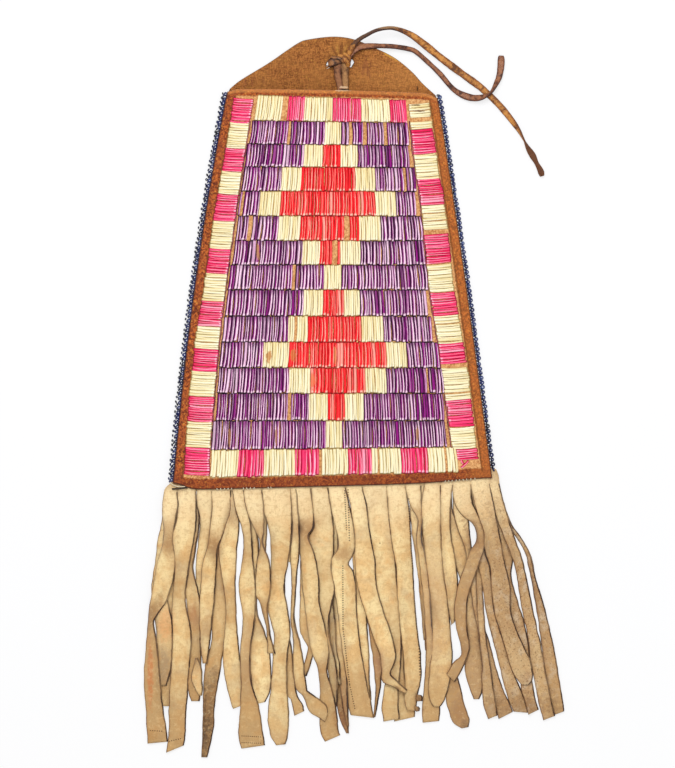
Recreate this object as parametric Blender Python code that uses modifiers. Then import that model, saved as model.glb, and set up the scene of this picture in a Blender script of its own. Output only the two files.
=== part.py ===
"""Hide dispatch bag: a flat pouch with a quilled front, beaded side seams, a cut hide fringe
along the bottom, a rounded flap with a hole, and a thong tied through that hole.

The bag lies on its back: +Z is up out of the quilled face, +Y runs towards the flap and +X to
the right of someone who looks down on it. The origin is on the underside of the back hide, in
the middle of the pouch. Lengths are in metres.
"""
import math

import bmesh
import bpy
from mathutils import Vector

# Pouch: its outline, from the bottom seam edge to the mouth edge
BODY_LENGTH = 0.2352
MOUTH_WIDTH = 0.1260
SEAM_WIDTH = 0.1910
LEFT_BOW = 0.0036
RIGHT_BOW = 0.0012
MOUTH_SKEW = 0.0027
SEAM_SKEW = 0.0050

# Hides and how far the front stands off the back
BACK_HIDE = 0.0013
FRONT_HIDE = 0.0011
FRINGE_HIDE = 0.0012
PUFF = 0.0080
PUFF_RISE = 0.0750
PUFF_EXPONENT = 2.5
STACK_FALL = 8
HEM_DEPTH = 0.0055
HEM_RISE = 0.0300
FRONT_STEPS = 7
CLEARANCE = 0.0003

# Flap above the mouth: points as shares of half the mouth's width and of the flap's height
FLAP_HEIGHT = 0.0343
FLAP_OUTLINE = ((0.61, 0.60), (0.21, 0.95), (-0.01, 1.0), (-0.24, 0.95), (-0.36, 0.87), (-0.72, 0.45))

# The worn hole in the flap that the thong goes through
HOLE_X = 0.0049
HOLE_RISE = 0.0189
HOLE_WIDTH = 0.0180
HOLE_HEIGHT = 0.0090

# Quillwork: lanes of flattened quills, turned under at both edges of each lane
TOP_MARGIN = 0.0030
BOTTOM_MARGIN = 0.0066
SIDE_MARGIN = 0.0056
SIDE_LANE = 0.0146
LANE_GAP = 0.0010
LANE_GROWTH = 1.20
FIELD_LANES = 13
QUILL_LOW = 0.0004
QUILL_HIGH = 0.0012
QUILL_TUCK = 0.0018
RIDGE_WIDTH = 0.0055
PATTERN_CELL = 0.0114
RED_CELLS = (0, 1, 3, 5, 3, 1, 0, 1, 3, 5, 3, 1, 0)
LANE_DRIFT = (
    0.0, -0.0012, -0.0026, -0.0033, -0.0019, -0.0006, 0.0, -0.0006, 0.0019, 0.0015, 0.0030, 0.0022, 0.0009
)
LEFT_BLOCKS = 15
RIGHT_BLOCKS = 14
TOP_BLOCKS = 6
BOTTOM_BLOCKS = 9

# Beaded edging along both side seams
BEAD_RADIUS = 0.0017
BEAD_NECK = 0.0011
BEAD_PITCH = 0.0036
BEAD_END = 0.0048

# Fringe: two hides let into the bottom seam and cut into strips
HEADER_DEPTH = 0.0080
HEADER_SIDE = 0.0012
STRIP_CUT = 0.0005
STRIP_STEPS = 6
DROP_LENGTH = 0.0120
FLOOR_GAP = 0.00005
STRIP_SWAY = 0.0016
STRIP_FAN = 1.2

# The fringe's strips: left and right of the top as per cent of the seam, then in millimetres how far
# the tip leans to the right, its width and the strip's length
STRIP_UNIT = 0.001
FRONT_STRIPS = (
    (0.6, 2.4, -12.6, 11, 153),
    (2.4, 7.3, -8.0, 10, 158),
    (7.3, 12.3, -6.7, 8, 128),
    (12.3, 17.8, -7.5, 8, 161),
    (17.8, 21.9, -2.9, 6, 133),
    (21.9, 28.2, -1.2, 14, 157),
    (28.2, 37.0, 0.6, 10.5, 154),
    (37.0, 42.6, -1.5, 8, 136),
    (42.6, 48.4, 5.1, 10.5, 151),
    (48.4, 54.2, 4.5, 5.4, 147),
    (54.2, 60.5, 5.4, 10.8, 140),
    (60.5, 67.7, 5.2, 9, 140),
    (67.7, 73.4, 5.1, 11, 140),
    (73.4, 78.5, 8.9, 10.2, 141),
    (78.5, 83.8, 16.3, 9, 144),
    (83.8, 88.2, 18.2, 5.6, 127),
    (88.2, 93.7, 22.2, 8, 139),
    (93.7, 97.9, 27.7, 9, 118),
    (97.9, 99.4, 36.4, 7.2, 139),
)
BACK_STRIPS = (
    (0.6, 4.5, -8.8, 7, 131),
    (5.0, 9.7, -5.0, 8, 118),
    (13.4, 18.6, -2.0, 8, 120),
    (23.8, 29.1, 3.5, 9.5, 129),
    (34.3, 39.0, -1.5, 8, 120),
    (42.7, 47.4, 0.5, 7.5, 140),
    (51.0, 56.3, 4.7, 5.4, 136),
    (57.9, 63.1, 6.0, 6, 132),
    (69.9, 75.1, 8.0, 8, 122),
    (78.3, 83.0, 7.5, 9, 131),
    (84.6, 89.3, 21.5, 6, 139),
    (90.3, 94.5, 26.5, 8, 136),
    (95.0, 97.6, 33.0, 6.6, 136),
    (98.4, 99.4, 43.1, 6, 136),
)

# Thong, 3.4 mm across where it is rolled round. Its middle lines are chosen by hand: x and y from the
# middle of the flap's hole, z from the floor
THONG_RADIUS = 0.0017
ROUTE_STEP = 0.0080
ROUTE_FINENESS = 8
LEFT_LEG = (
    (-0.0009, -0.0021, 0.0034),
    (-0.0003, -0.0125, 0.0034),
    (0.0001, -0.0215, 0.0034),
    (0.0001, -0.0320, 0.0034),
)
RIGHT_LEG = (
    (0.0031, -0.0021, 0.0034),
    (0.0036, -0.0125, 0.0034),
    (0.0039, -0.0215, 0.0034),
    (0.0039, -0.0320, 0.0034),
)
LONG_TAIL = (
    (0.0079, 0.0069, 0.0060),
    (0.0113, 0.0127, 0.0072),
    (0.0194, 0.0186, 0.0086),
    (0.0302, 0.0207, 0.0090),
    (0.0413, 0.0179, 0.0074),
    (0.0468, 0.0146, 0.0056),
    (0.0541, 0.0091, 0.0032),
    (0.0656, -0.0007, 0.0018),
    (0.0770, -0.0097, 0.0018),
    (0.0858, -0.0161, 0.0018),
    (0.0921, -0.0219, 0.0018),
    (0.1003, -0.0307, 0.0018),
    (0.1060, -0.0388, 0.0018),
    (0.1101, -0.0463, 0.0018),
    (0.1148, -0.0544, 0.0018),
    (0.1183, -0.0602, 0.0018),
    (0.1212, -0.0678, 0.0018),
)
SHORT_TAIL = (
    (0.0093, 0.0039, 0.0038),
    (0.0158, 0.0084, 0.0035),
    (0.0231, 0.0100, 0.0036),
    (0.0304, 0.0095, 0.0034),
    (0.0377, 0.0091, 0.0028),
    (0.0450, 0.0066, 0.0022),
    (0.0504, 0.0029, 0.0018),
    (0.0559, -0.0025, 0.0018),
    (0.0613, -0.0076, 0.0018),
    (0.0656, -0.0130, 0.0018),
    (0.0700, -0.0179, 0.0018),
    (0.0759, -0.0208, 0.0024),
    (0.0817, -0.0219, 0.0042),
    (0.0869, -0.0208, 0.0057),
    (0.0910, -0.0179, 0.0057),
    (0.0939, -0.0132, 0.0036),
    (0.0962, -0.0074, 0.0018),
    (0.0968, 0.0036, 0.0018),
)

# The knot's middle from the middle of the hole and above the flap, and its size
KNOT_SHIFT = (0.0001, 0.0019)
KNOT_SIZE = (0.0150, 0.0078, 0.0056)
KNOT_WAIST = 0.8


def blend(low, high, share):
    return low + (high - low) * share


def side_x(side, v):
    """Where the left (-1) or right (1) edge of the pouch is, a share v of the way from seam to mouth."""
    bow = LEFT_BOW if side < 0 else RIGHT_BOW
    return side * (blend(SEAM_WIDTH, MOUTH_WIDTH, v) / 2 + bow * 4 * v * (1 - v))


def pouch_width(v):
    return side_x(1, v) - side_x(-1, v)


def pouch_point(u, v):
    """A place on the pouch, u from the left edge to the right one and v from the seam to the mouth."""
    x = blend(side_x(-1, v), side_x(1, v), u)
    skew = blend(SEAM_SKEW, -MOUTH_SKEW, v)
    y = (v - 0.5) * BODY_LENGTH + (u - 0.5) * skew
    return x, y


def stack_height(v):
    """The height between the hides' edges: the fringe lies there at the seam and the hem at the mouth."""
    plies = 2 * (FRINGE_HIDE + CLEARANCE)
    start = (HEADER_DEPTH + CLEARANCE) / BODY_LENGTH
    fall = max(0.0, (v - start) / (1 - start))
    to_hem = (v - 1) * BODY_LENGTH + HEM_DEPTH + HEM_RISE
    hem = min(1.0, max(0.0, to_hem / HEM_RISE)) ** 2 * (FRONT_HIDE + CLEARANCE)
    return CLEARANCE + plies * (1 - fall) ** STACK_FALL + hem


def front_top(u, v):
    """The height of the front hide's outer face, which puffs up inside its three sewn edges."""
    across = 1 - abs(2 * u - 1) ** PUFF_EXPONENT
    rise = 1 - (1 - min(1.0, v * BODY_LENGTH / PUFF_RISE)) ** 2
    return BACK_HIDE + stack_height(v) + FRONT_HIDE + PUFF * across * rise


def hole_middle():
    return Vector((HOLE_X, BODY_LENGTH / 2 + HOLE_RISE, 0.0))


def clear_scene():
    for item in list(bpy.data.objects):
        bpy.data.objects.remove(item, do_unlink=True)


def make_material(name, colour, roughness):
    material = bpy.data.materials.new(name)
    material.use_nodes = True
    shader = material.node_tree.nodes["Principled BSDF"]
    shader.inputs["Base Color"].default_value = (*colour, 1.0)
    shader.inputs["Roughness"].default_value = roughness
    shader.inputs["Metallic"].default_value = 0.0
    material.diffuse_color = (*colour, 1.0)
    return material


def add_object(name, data, materials):
    item = bpy.data.objects.new(name, data)
    BAG.objects.link(item)
    for material in materials:
        data.materials.append(material)
    return item


def mesh_from(form, smooth=False):
    mesh = bpy.data.meshes.new("part")
    bmesh.ops.recalc_face_normals(form, faces=form.faces)
    form.to_mesh(mesh)
    form.free()
    if smooth:
        mesh.shade_smooth()
    return mesh


def outline_spline(curve, points):
    """A closed spline through (x, y, handle) points: VECTOR for a cut corner, AUTO for a round stretch."""
    spline = curve.splines.new("BEZIER")
    spline.bezier_points.add(len(points) - 1)
    for knot, (x, y, handle) in zip(spline.bezier_points, points):
        knot.co = (x, y, 0.0)
        knot.handle_left_type = handle
        knot.handle_right_type = handle
    spline.use_cyclic_u = True


def build_back_panel():
    """One hide makes the back and the flap above the mouth, with the hole cut through the flap."""
    curve = bpy.data.curves.new("back_outline", "CURVE")
    curve.dimensions = "2D"
    curve.fill_mode = "BOTH"
    curve.resolution_u = 4
    curve.extrude = BACK_HIDE / 2
    mouth_y = BODY_LENGTH / 2
    corners = [(*pouch_point(0, 0), "VECTOR"), (*pouch_point(1, 0), "VECTOR")]
    right = [(*pouch_point(1, v), "AUTO") for v in (0.25, 0.5, 0.75)]
    flap = [(x * MOUTH_WIDTH / 2, mouth_y + y * FLAP_HEIGHT, "AUTO") for x, y in FLAP_OUTLINE]
    left = [(*pouch_point(0, v), "AUTO") for v in (0.75, 0.5, 0.25)]
    mouth = [(*pouch_point(1, 1), "VECTOR")]
    outline_spline(curve, corners + right + mouth + flap + [(*pouch_point(0, 1), "VECTOR")] + left)
    hole = hole_middle()
    eye = [
        (hole.x + HOLE_WIDTH / 2, hole.y, "VECTOR"),
        (hole.x, hole.y + HOLE_HEIGHT / 2, "AUTO"),
        (hole.x - HOLE_WIDTH / 2, hole.y, "VECTOR"),
        (hole.x, hole.y - HOLE_HEIGHT / 2, "AUTO"),
    ]
    outline_spline(curve, eye)
    back = add_object("back_panel", curve, [make_material("flap_hide", (0.42, 0.22, 0.07), 0.85)])
    back.location.z = BACK_HIDE / 2


def lane_edges():
    """Shares v of the lanes' lower and upper edges, from the top lane down, each deeper than the last."""
    count = FIELD_LANES + 2
    depths = [blend(1.0, LANE_GROWTH, i / (count - 1)) for i in range(count)]
    room = BODY_LENGTH - TOP_MARGIN - BOTTOM_MARGIN
    top = BODY_LENGTH - TOP_MARGIN
    edges = []
    for depth in depths:
        bottom = top - room * depth / sum(depths)
        edges.append(((bottom + LANE_GAP) / BODY_LENGTH, top / BODY_LENGTH))
        top = bottom
    return edges


def build_front_panel():
    """The front hide: domed, sewn down on three sides, its mouth edge turned under into a narrow hem."""
    fold_radius = FRONT_HIDE + CLEARANCE / 2
    over_header = (HEADER_DEPTH + CLEARANCE) / BODY_LENGTH
    edges = lane_edges()
    levels = sorted([0.0, over_header, sum(edges[-1]) / 2, edges[0][1], 1.0] + [low for low, high in edges])

    def row_at(v):
        stops = [0.0, SIDE_MARGIN / pouch_width(v), (SIDE_MARGIN + SIDE_LANE) / pouch_width(v)]
        inner = [blend(stops[-1], 1 - stops[-1], i / FRONT_STEPS) for i in range(1, FRONT_STEPS)]
        across = stops + inner + [1 - u for u in reversed(stops)]
        return [Vector((*pouch_point(u, v), front_top(u, v))) for u in across]

    rows = [row_at(v) for v in levels]
    edge = rows[-1]
    for turn in (math.pi / 4, math.pi / 2, 3 * math.pi / 4, math.pi):
        shift = Vector((0, fold_radius * math.sin(turn), -fold_radius * (1 - math.cos(turn))))
        rows.append([point + shift for point in edge])
    under = Vector((0, 0, -2 * fold_radius))
    rows.append([point + under for point in row_at(1 - HEM_DEPTH / BODY_LENGTH)])
    form = bmesh.new()
    grid = [[form.verts.new(point) for point in row] for row in rows]
    for lower, upper in zip(grid, grid[1:]):
        for i in range(len(lower) - 1):
            form.faces.new((lower[i], lower[i + 1], upper[i + 1], upper[i]))
    mesh = bpy.data.meshes.new("front_panel")
    form.to_mesh(mesh)
    form.free()
    mesh.shade_smooth()
    panel = add_object("front_panel", mesh, [make_material("stained_hide", (0.36, 0.11, 0.03), 0.85)])
    wall = panel.modifiers.new("hide", "SOLIDIFY")
    wall.thickness = FRONT_HIDE
    wall.offset = -1.0


def cross_lane(v_low, v_high):
    """Places on a lane that runs across the pouch between the two side lanes."""
    def place(s, c):
        v = blend(v_low, v_high, c)
        inset = (SIDE_MARGIN + SIDE_LANE + LANE_GAP) / pouch_width(v)
        return blend(inset, 1 - inset, s), v
    return place


def side_lane(side, v_low, v_high):
    """Places on a lane that runs up the left (-1) or right (1) side, its quills lying across it."""
    def place(s, c):
        v = blend(v_high, v_low, s)
        inset = (SIDE_MARGIN + c * SIDE_LANE) / pouch_width(v)
        return (inset if side < 0 else 1 - inset), v
    return place


def quill_lane(name, place, length, width, runs):
    """One lane as a closed strip. Quills lie side by side in runs of one colour, each run a share of the
    lane's length, and every ridge is hipped: full height between its ends, low where it turns under."""
    form = bmesh.new()
    tuck = QUILL_TUCK / width

    def corner(s, c, lift):
        u, v = place(s, c)
        return form.verts.new((*pouch_point(u, v), front_top(u, v) + CLEARANCE + lift))

    def section(s):
        return [corner(s, 0, 0), corner(s, 1, 0), corner(s, 1, QUILL_LOW), corner(s, 0, QUILL_LOW)]

    start = section(0.0)
    form.faces.new(start)
    for colour, begin, end in runs:
        ridges = max(1, round((end - begin) * length / RIDGE_WIDTH))
        for ridge in range(ridges):
            stop = section(blend(begin, end, (ridge + 1) / ridges))
            middle = blend(begin, end, (ridge + 0.5) / ridges)
            crest = [corner(middle, tuck, QUILL_HIGH), corner(middle, 1 - tuck, QUILL_HIGH)]
            sides = [
                (start[0], start[1], stop[1], stop[0]),
                (start[1], start[2], stop[2], stop[1]),
                (start[3], start[0], stop[0], stop[3]),
            ]
            quills = [
                (start[3], start[2], crest[1], crest[0]),
                (stop[2], stop[3], crest[0], crest[1]),
                (start[3], crest[0], stop[3]),
                (start[2], stop[2], crest[1]),
            ]
            for corners in sides + quills:
                form.faces.new(corners).material_index = colour
            start = stop
    form.faces.new(start)
    add_object(name, mesh_from(form), QUILLS)


def pattern_runs(lane, length):
    """Runs of one field lane: purple ends, and a cream-edged red run stepped to draw two diamonds."""
    red = RED_CELLS[lane] * PATTERN_CELL
    figure = red + 2 * PATTERN_CELL if red else PATTERN_CELL
    middle = 0.5 + LANE_DRIFT[lane] / length
    stops = [0.0, middle - figure / 2 / length]
    colours = [PURPLE, CREAM]
    if red:
        stops += [middle - red / 2 / length, middle + red / 2 / length]
        colours += [RED, CREAM]
    stops += [middle + figure / 2 / length, 1.0]
    colours.append(PURPLE)
    return list(zip(colours, stops, stops[1:]))


def block_runs(count, first, second):
    """Equal blocks of two colours in turn, as in the checked border."""
    return [((first, second)[i % 2], i / count, (i + 1) / count) for i in range(count)]


def build_quillwork():
    edges = lane_edges()
    for index, (v_low, v_high) in enumerate(edges):
        v = (v_low + v_high) / 2
        length = pouch_width(v) - 2 * (SIDE_MARGIN + SIDE_LANE + LANE_GAP)
        width = (v_high - v_low) * BODY_LENGTH
        if index == 0:
            name = "quill_border_top"
            runs = block_runs(TOP_BLOCKS, CREAM, PINK)
        elif index == len(edges) - 1:
            name = "quill_border_bottom"
            runs = block_runs(BOTTOM_BLOCKS, CREAM, PINK)
        else:
            name = f"quill_lane_{index:02d}"
            runs = pattern_runs(index - 1, length)
        quill_lane(name, cross_lane(v_low, v_high), length, width, runs)
    v_low = edges[-1][0]
    v_high = edges[0][1]
    length = (v_high - v_low) * BODY_LENGTH
    left = block_runs(LEFT_BLOCKS, PINK, CREAM)
    right = block_runs(RIGHT_BLOCKS, CREAM, PINK)
    quill_lane("quill_border_left", side_lane(-1, v_low, v_high), length, SIDE_LANE, left)
    quill_lane("quill_border_right", side_lane(1, v_low, v_high), length, SIDE_LANE, right)


def build_bead_edging(name, side, material):
    """A row of beads sewn over the raw edges of both hides, as one scalloped run of square-cut rings."""
    start = BEAD_END / BODY_LENGTH
    length = BODY_LENGTH - 2 * BEAD_END
    count = 2 * round(length / BEAD_PITCH)
    form = bmesh.new()
    last = None
    for index in range(count + 1):
        v = blend(start, 1 - start, index / count)
        radius = BEAD_RADIUS if index % 2 else BEAD_NECK
        u = 0 if side < 0 else 1
        x, y = pouch_point(u, v)
        x += side * (CLEARANCE + BEAD_RADIUS)
        z = max(BEAD_RADIUS + FLOOR_GAP, front_top(u, v) / 2)
        ring = [
            form.verts.new((x + radius * math.cos(turn), y, z + radius * math.sin(turn)))
            for turn in (0, math.pi / 2, math.pi, 3 * math.pi / 2)
        ]
        if last:
            for i in range(4):
                form.faces.new((last[i], last[(i + 1) % 4], ring[(i + 1) % 4], ring[i]))
        else:
            form.faces.new(ring)
        last = ring
    form.faces.new(last)
    add_object(name, mesh_from(form), [material])


def strip_height(level, drop):
    """A ply's underside: at its level in the seam, then down onto the ply or the floor below."""
    fall = min(1.0, max(0.0, drop / DROP_LENGTH))
    low = FLOOR_GAP + level * (FRINGE_HIDE + CLEARANCE)
    high = BACK_HIDE + CLEARANCE + level * (FRINGE_HIDE + CLEARANCE)
    return blend(high, low, fall * fall * (3 - 2 * fall))


def build_fringe(name, strips, level, material):
    """One hide held in the seam by its header and cut into strips that fan out below it."""
    form = bmesh.new()

    def seam_y(x):
        return pouch_point(x / SEAM_WIDTH + 0.5, 0)[1]

    def point(x, y, drop):
        return form.verts.new((x, y, strip_height(level, drop)))

    header = SEAM_WIDTH - 2 * HEADER_SIDE
    previous = None
    for left_share, right_share, lean, tip_width, length in strips:
        left = (left_share / 100 - 0.5) * header + STRIP_CUT / 2
        right = (right_share / 100 - 0.5) * header - STRIP_CUT / 2
        lean *= STRIP_UNIT
        tip_width *= STRIP_UNIT
        length *= STRIP_UNIT
        head = [point(x, seam_y(x) + HEADER_DEPTH, 0) for x in (left, right)]
        root = [point(x, seam_y(x) + CLEARANCE, 0) for x in (left, right)]
        form.faces.new((root[0], root[1], head[1], head[0]))
        if previous:
            form.faces.new((previous[1], root[0], head[0], previous[0]))
        previous = (head[1], root[1])
        middle = (left + right) / 2
        row = root
        stations = [0.5 * DROP_LENGTH / length, DROP_LENGTH / length]
        stations += [blend(DROP_LENGTH / length, 1.0, i / STRIP_STEPS) for i in range(1, STRIP_STEPS + 1)]
        for t in stations:
            centre = middle + lean * t ** STRIP_FAN + STRIP_SWAY * math.sin(2 * math.pi * t)
            width = blend(right - left, tip_width, t)
            y = seam_y(middle) + CLEARANCE - t * length
            below = [point(centre - width / 2, y, t * length), point(centre + width / 2, y, t * length)]
            form.faces.new((below[0], below[1], row[1], row[0]))
            row = below
    mesh = bpy.data.meshes.new(name)
    form.to_mesh(mesh)
    form.free()
    fringe = add_object(name, mesh, [material])
    wall = fringe.modifiers.new("hide", "SOLIDIFY")
    wall.thickness = FRINGE_HIDE
    wall.offset = 1.0


def smooth_route(points):
    """Points about ROUTE_STEP apart on a Catmull-Rom curve through the points, which count from the hole."""
    knots = [hole_middle() + Vector(point) for point in points]
    knots = [2 * knots[0] - knots[1]] + knots + [2 * knots[-1] - knots[-2]]
    fine = []
    for a, b, c, d in zip(knots, knots[1:], knots[2:], knots[3:]):
        for step in range(ROUTE_FINENESS):
            t = step / ROUTE_FINENESS
            fine.append(0.5 * (2 * b + (c - a) * t + (2 * a - 5 * b + 4 * c - d) * t * t
                               + (3 * b - a - 3 * c + d) * t ** 3))
    fine.append(knots[-2])
    walked = [0.0]
    for before, after in zip(fine, fine[1:]):
        walked.append(walked[-1] + (after - before).length)
    count = max(2, round(walked[-1] / ROUTE_STEP))
    route = []
    for index in range(count + 1):
        target = walked[-1] * index / count
        place = min(range(len(walked)), key=lambda i: abs(walked[i] - target))
        route.append(fine[place])
    return route


def build_thong(name, points, material):
    curve = bpy.data.curves.new(name, "CURVE")
    curve.dimensions = "3D"
    curve.bevel_depth = THONG_RADIUS
    curve.bevel_resolution = 2
    curve.use_fill_caps = True
    route = smooth_route(points)
    spline = curve.splines.new("POLY")
    spline.points.add(len(route) - 1)
    for knot, place in zip(spline.points, route):
        knot.co = (*place, 1.0)
    add_object(name, curve, [material])


def build_knot(material):
    """The overhand knot as one rounded lump across the hole, waisted where the thong turns round itself."""
    width, height, depth = KNOT_SIZE
    middle = hole_middle() + Vector((*KNOT_SHIFT, BACK_HIDE + depth / 2))
    form = bmesh.new()
    bmesh.ops.create_cube(form, size=1.0)
    bmesh.ops.subdivide_edges(form, edges=form.edges, cuts=1, use_grid_fill=True)
    for vert in form.verts:
        x, y, z = vert.co
        waist = 1.0 if abs(x) > 0.25 else KNOT_WAIST
        vert.co = middle + Vector((x * width, y * height * waist, z * depth * waist))
    knot = add_object("thong_knot", mesh_from(form, smooth=True), [material])
    soften = knot.modifiers.new("round", "SUBSURF")
    soften.levels = 1
    soften.render_levels = 1


clear_scene()
BAG = bpy.data.collections.new("dispatch_bag")
bpy.context.scene.collection.children.link(BAG)

PURPLE, RED, CREAM, PINK = range(4)
QUILLS = [
    make_material("purple_quill", (0.20, 0.05, 0.22), 0.45),
    make_material("red_quill", (0.75, 0.06, 0.05), 0.45),
    make_material("cream_quill", (0.92, 0.82, 0.55), 0.45),
    make_material("pink_quill", (0.80, 0.10, 0.25), 0.45),
]
BEADS = make_material("blue_beads", (0.03, 0.06, 0.22), 0.2)
FRINGE = make_material("fringe_hide", (0.66, 0.48, 0.26), 0.9)
DARK_THONG = make_material("dark_thong", (0.14, 0.07, 0.03), 0.6)
GOLD_THONG = make_material("golden_thong", (0.30, 0.15, 0.05), 0.6)

build_back_panel()
build_front_panel()
build_quillwork()
build_bead_edging("bead_edging_left", -1, BEADS)
build_bead_edging("bead_edging_right", 1, BEADS)
build_fringe("fringe_back", BACK_STRIPS, 0, FRINGE)
build_fringe("fringe_front", FRONT_STRIPS, 1, FRINGE)
build_thong("thong_leg_left", LEFT_LEG, GOLD_THONG)
build_thong("thong_leg_right", RIGHT_LEG, GOLD_THONG)
build_thong("thong_tail_long", LONG_TAIL, GOLD_THONG)
build_thong("thong_tail_short", SHORT_TAIL, DARK_THONG)
build_knot(DARK_THONG)
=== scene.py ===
"""The looks of a hide dispatch bag with a quilled front, beaded side seams, a fringe and a tied thong.

It lies on its back as in the photograph: +Z is up, +Y runs towards the flap, and lengths are in metres.
"""
import math

import bpy
import numpy as np
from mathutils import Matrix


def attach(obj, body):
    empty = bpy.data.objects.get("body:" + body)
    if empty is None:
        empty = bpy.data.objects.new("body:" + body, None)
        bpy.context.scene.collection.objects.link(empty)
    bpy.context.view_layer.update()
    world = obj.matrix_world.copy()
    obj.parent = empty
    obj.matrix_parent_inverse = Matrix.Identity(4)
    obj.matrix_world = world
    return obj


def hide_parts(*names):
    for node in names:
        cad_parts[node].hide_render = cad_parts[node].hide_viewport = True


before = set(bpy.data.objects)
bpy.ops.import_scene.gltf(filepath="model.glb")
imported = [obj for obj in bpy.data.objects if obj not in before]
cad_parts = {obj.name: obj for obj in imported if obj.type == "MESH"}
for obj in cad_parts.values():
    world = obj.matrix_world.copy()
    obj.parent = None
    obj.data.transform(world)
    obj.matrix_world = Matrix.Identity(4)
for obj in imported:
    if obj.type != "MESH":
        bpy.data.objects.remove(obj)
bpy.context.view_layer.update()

# The camera looks straight down on the bag. A pixel of the photograph covers 0.6 mm of the floor, and
# the middle of the pouch lies at a known place in the picture.
PHOTO_SIZE = (675, 768)
PIXEL = 0.0006
POUCH_MIDDLE_PX = (332.5, 290.0)
CAMERA_HEIGHT = 1.8
SENSOR = 36.0


def at_pixel(px, py, height=0.0):
    """Metres from the pouch's middle where the line of sight through a pixel meets the given height: pixels
    from the camera's axis times a pixel's size, less the height's share of the camera's height, +Y up."""
    near = 1 - np.asarray(height, dtype=float) / CAMERA_HEIGHT
    middle = PHOTO_SIZE[0] / 2, PHOTO_SIZE[1] / 2
    x = (np.asarray(px, dtype=float) - middle[0]) * near + middle[0] - POUCH_MIDDLE_PX[0]
    y = (np.asarray(py, dtype=float) - middle[1]) * near + middle[1] - POUCH_MIDDLE_PX[1]
    return x * PIXEL, -y * PIXEL


camera = bpy.data.objects.new("camera", bpy.data.cameras.new("camera"))
bpy.context.scene.collection.objects.link(camera)
camera_x, camera_y = at_pixel(PHOTO_SIZE[0] / 2, PHOTO_SIZE[1] / 2)
camera.location = (camera_x, camera_y, CAMERA_HEIGHT)
camera.data.sensor_width = SENSOR
camera.data.lens = SENSOR * CAMERA_HEIGHT / (PHOTO_SIZE[1] * PIXEL)
camera.data.clip_end = 20.0
bpy.context.scene.camera = camera

# The thong: one strip of oiled hide, three to four millimetres wide, which comes up out of the mouth as
# two legs, is knotted over the hole in the flap and ends in two loose tails on the floor.
THONG_SIDES = 16
THONG_SMOOTHING = 9
CURVE_STEPS = 24
WIDTH_PLAY = 0.12
THICKNESS_PLAY = 0.10
THONG_GAP = 0.0001
# Each row is a place in the picture in pixels, then the height of the strip's middle over the floor, its
# width and its thickness in millimetres, and its turn about its own line in degrees
LONG_TAIL = [
    (348.6, 55.0, 4.8, 3.4, 2.2, 0), (351.2, 48.8, 6.2, 3.4, 2.1, 10), (355.2, 43.0, 7.4, 3.0, 2.0, 25),
    (361.0, 38.2, 8.2, 2.3, 2.0, 40), (367.0, 34.9, 8.7, 2.1, 2.0, 50), (373.2, 31.6, 8.9, 2.0, 2.0, 55),
    (379.2, 29.5, 9.0, 2.0, 1.9, 50), (385.3, 28.3, 9.0, 2.0, 1.9, 45), (391.4, 28.0, 8.9, 2.0, 1.9, 40),
    (397.4, 29.1, 8.6, 2.6, 1.9, 35), (403.5, 31.2, 7.8, 3.3, 1.9, 30), (409.5, 34.0, 6.9, 3.9, 1.9, 24),
    (415.6, 37.8, 5.9, 4.3, 1.9, 18), (427.7, 47.2, 3.8, 4.6, 1.9, 12), (440.0, 57.2, 2.2, 4.5, 1.9, 8),
    (459.1, 71.6, 1.8, 4.4, 1.9, 8), (478.3, 85.5, 1.6, 4.2, 1.9, 4), (486.0, 92.2, 1.4, 4.0, 1.8, 0),
    (493.6, 99.3, 1.6, 4.0, 1.8, -6), (502.2, 108.4, 1.8, 4.0, 1.8, -10), (511.8, 120.4, 1.8, 3.4, 1.8, -30),
    (518.5, 130.0, 1.8, 3.0, 1.6, -60), (523.6, 139.4, 1.8, 2.4, 1.3, -88),
    (528.0, 148.1, 1.8, 3.2, 1.6, -140), (532.8, 155.8, 1.8, 4.0, 1.9, -178),
    (536.7, 163.4, 1.8, 2.7, 1.8, -196), (540.4, 170.4, 1.8, 3.9, 2.1, -200),
    (542.2, 176.2, 1.8, 3.9, 2.3, -205),
]
SHORT_TAIL = [
    (348.2, 66.0, 3.0, 2.0, 1.8, 30), (348.9, 61.2, 3.6, 2.4, 2.0, 25), (350.2, 56.2, 4.2, 3.0, 2.0, 15),
    (353.8, 50.8, 4.4, 3.8, 1.9, 10), (360.0, 47.0, 4.2, 4.0, 1.8, 12), (367.0, 46.2, 3.9, 3.8, 1.8, 20),
    (379.0, 45.9, 3.7, 3.2, 1.8, 34), (391.0, 46.3, 3.4, 3.1, 1.8, 34), (399.0, 47.2, 3.1, 3.0, 1.8, 32),
    (408.0, 48.8, 2.8, 3.0, 1.8, 28), (415.6, 51.6, 2.4, 3.0, 1.8, 24), (427.7, 62.0, 1.8, 3.0, 1.8, 18),
    (440.0, 73.9, 1.8, 3.1, 1.7, 14), (449.6, 85.3, 1.8, 3.0, 1.7, 10), (456.3, 91.4, 1.8, 3.3, 1.7, 8),
    (463.9, 95.5, 2.0, 3.8, 1.7, 6), (471.6, 97.8, 2.8, 4.1, 1.7, 8), (478.3, 98.0, 4.0, 4.0, 1.7, 16),
    (484.0, 96.6, 4.9, 3.2, 1.7, 38), (488.8, 94.2, 4.6, 2.2, 1.6, 62), (492.4, 90.6, 3.9, 2.4, 1.6, 56),
    (496.4, 83.2, 2.8, 3.2, 1.6, 28), (499.3, 76.2, 2.0, 3.8, 1.6, 12), (500.9, 66.0, 1.8, 4.0, 1.6, 4),
    (501.2, 55.6, 1.8, 4.3, 1.6, 0),
]


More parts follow.
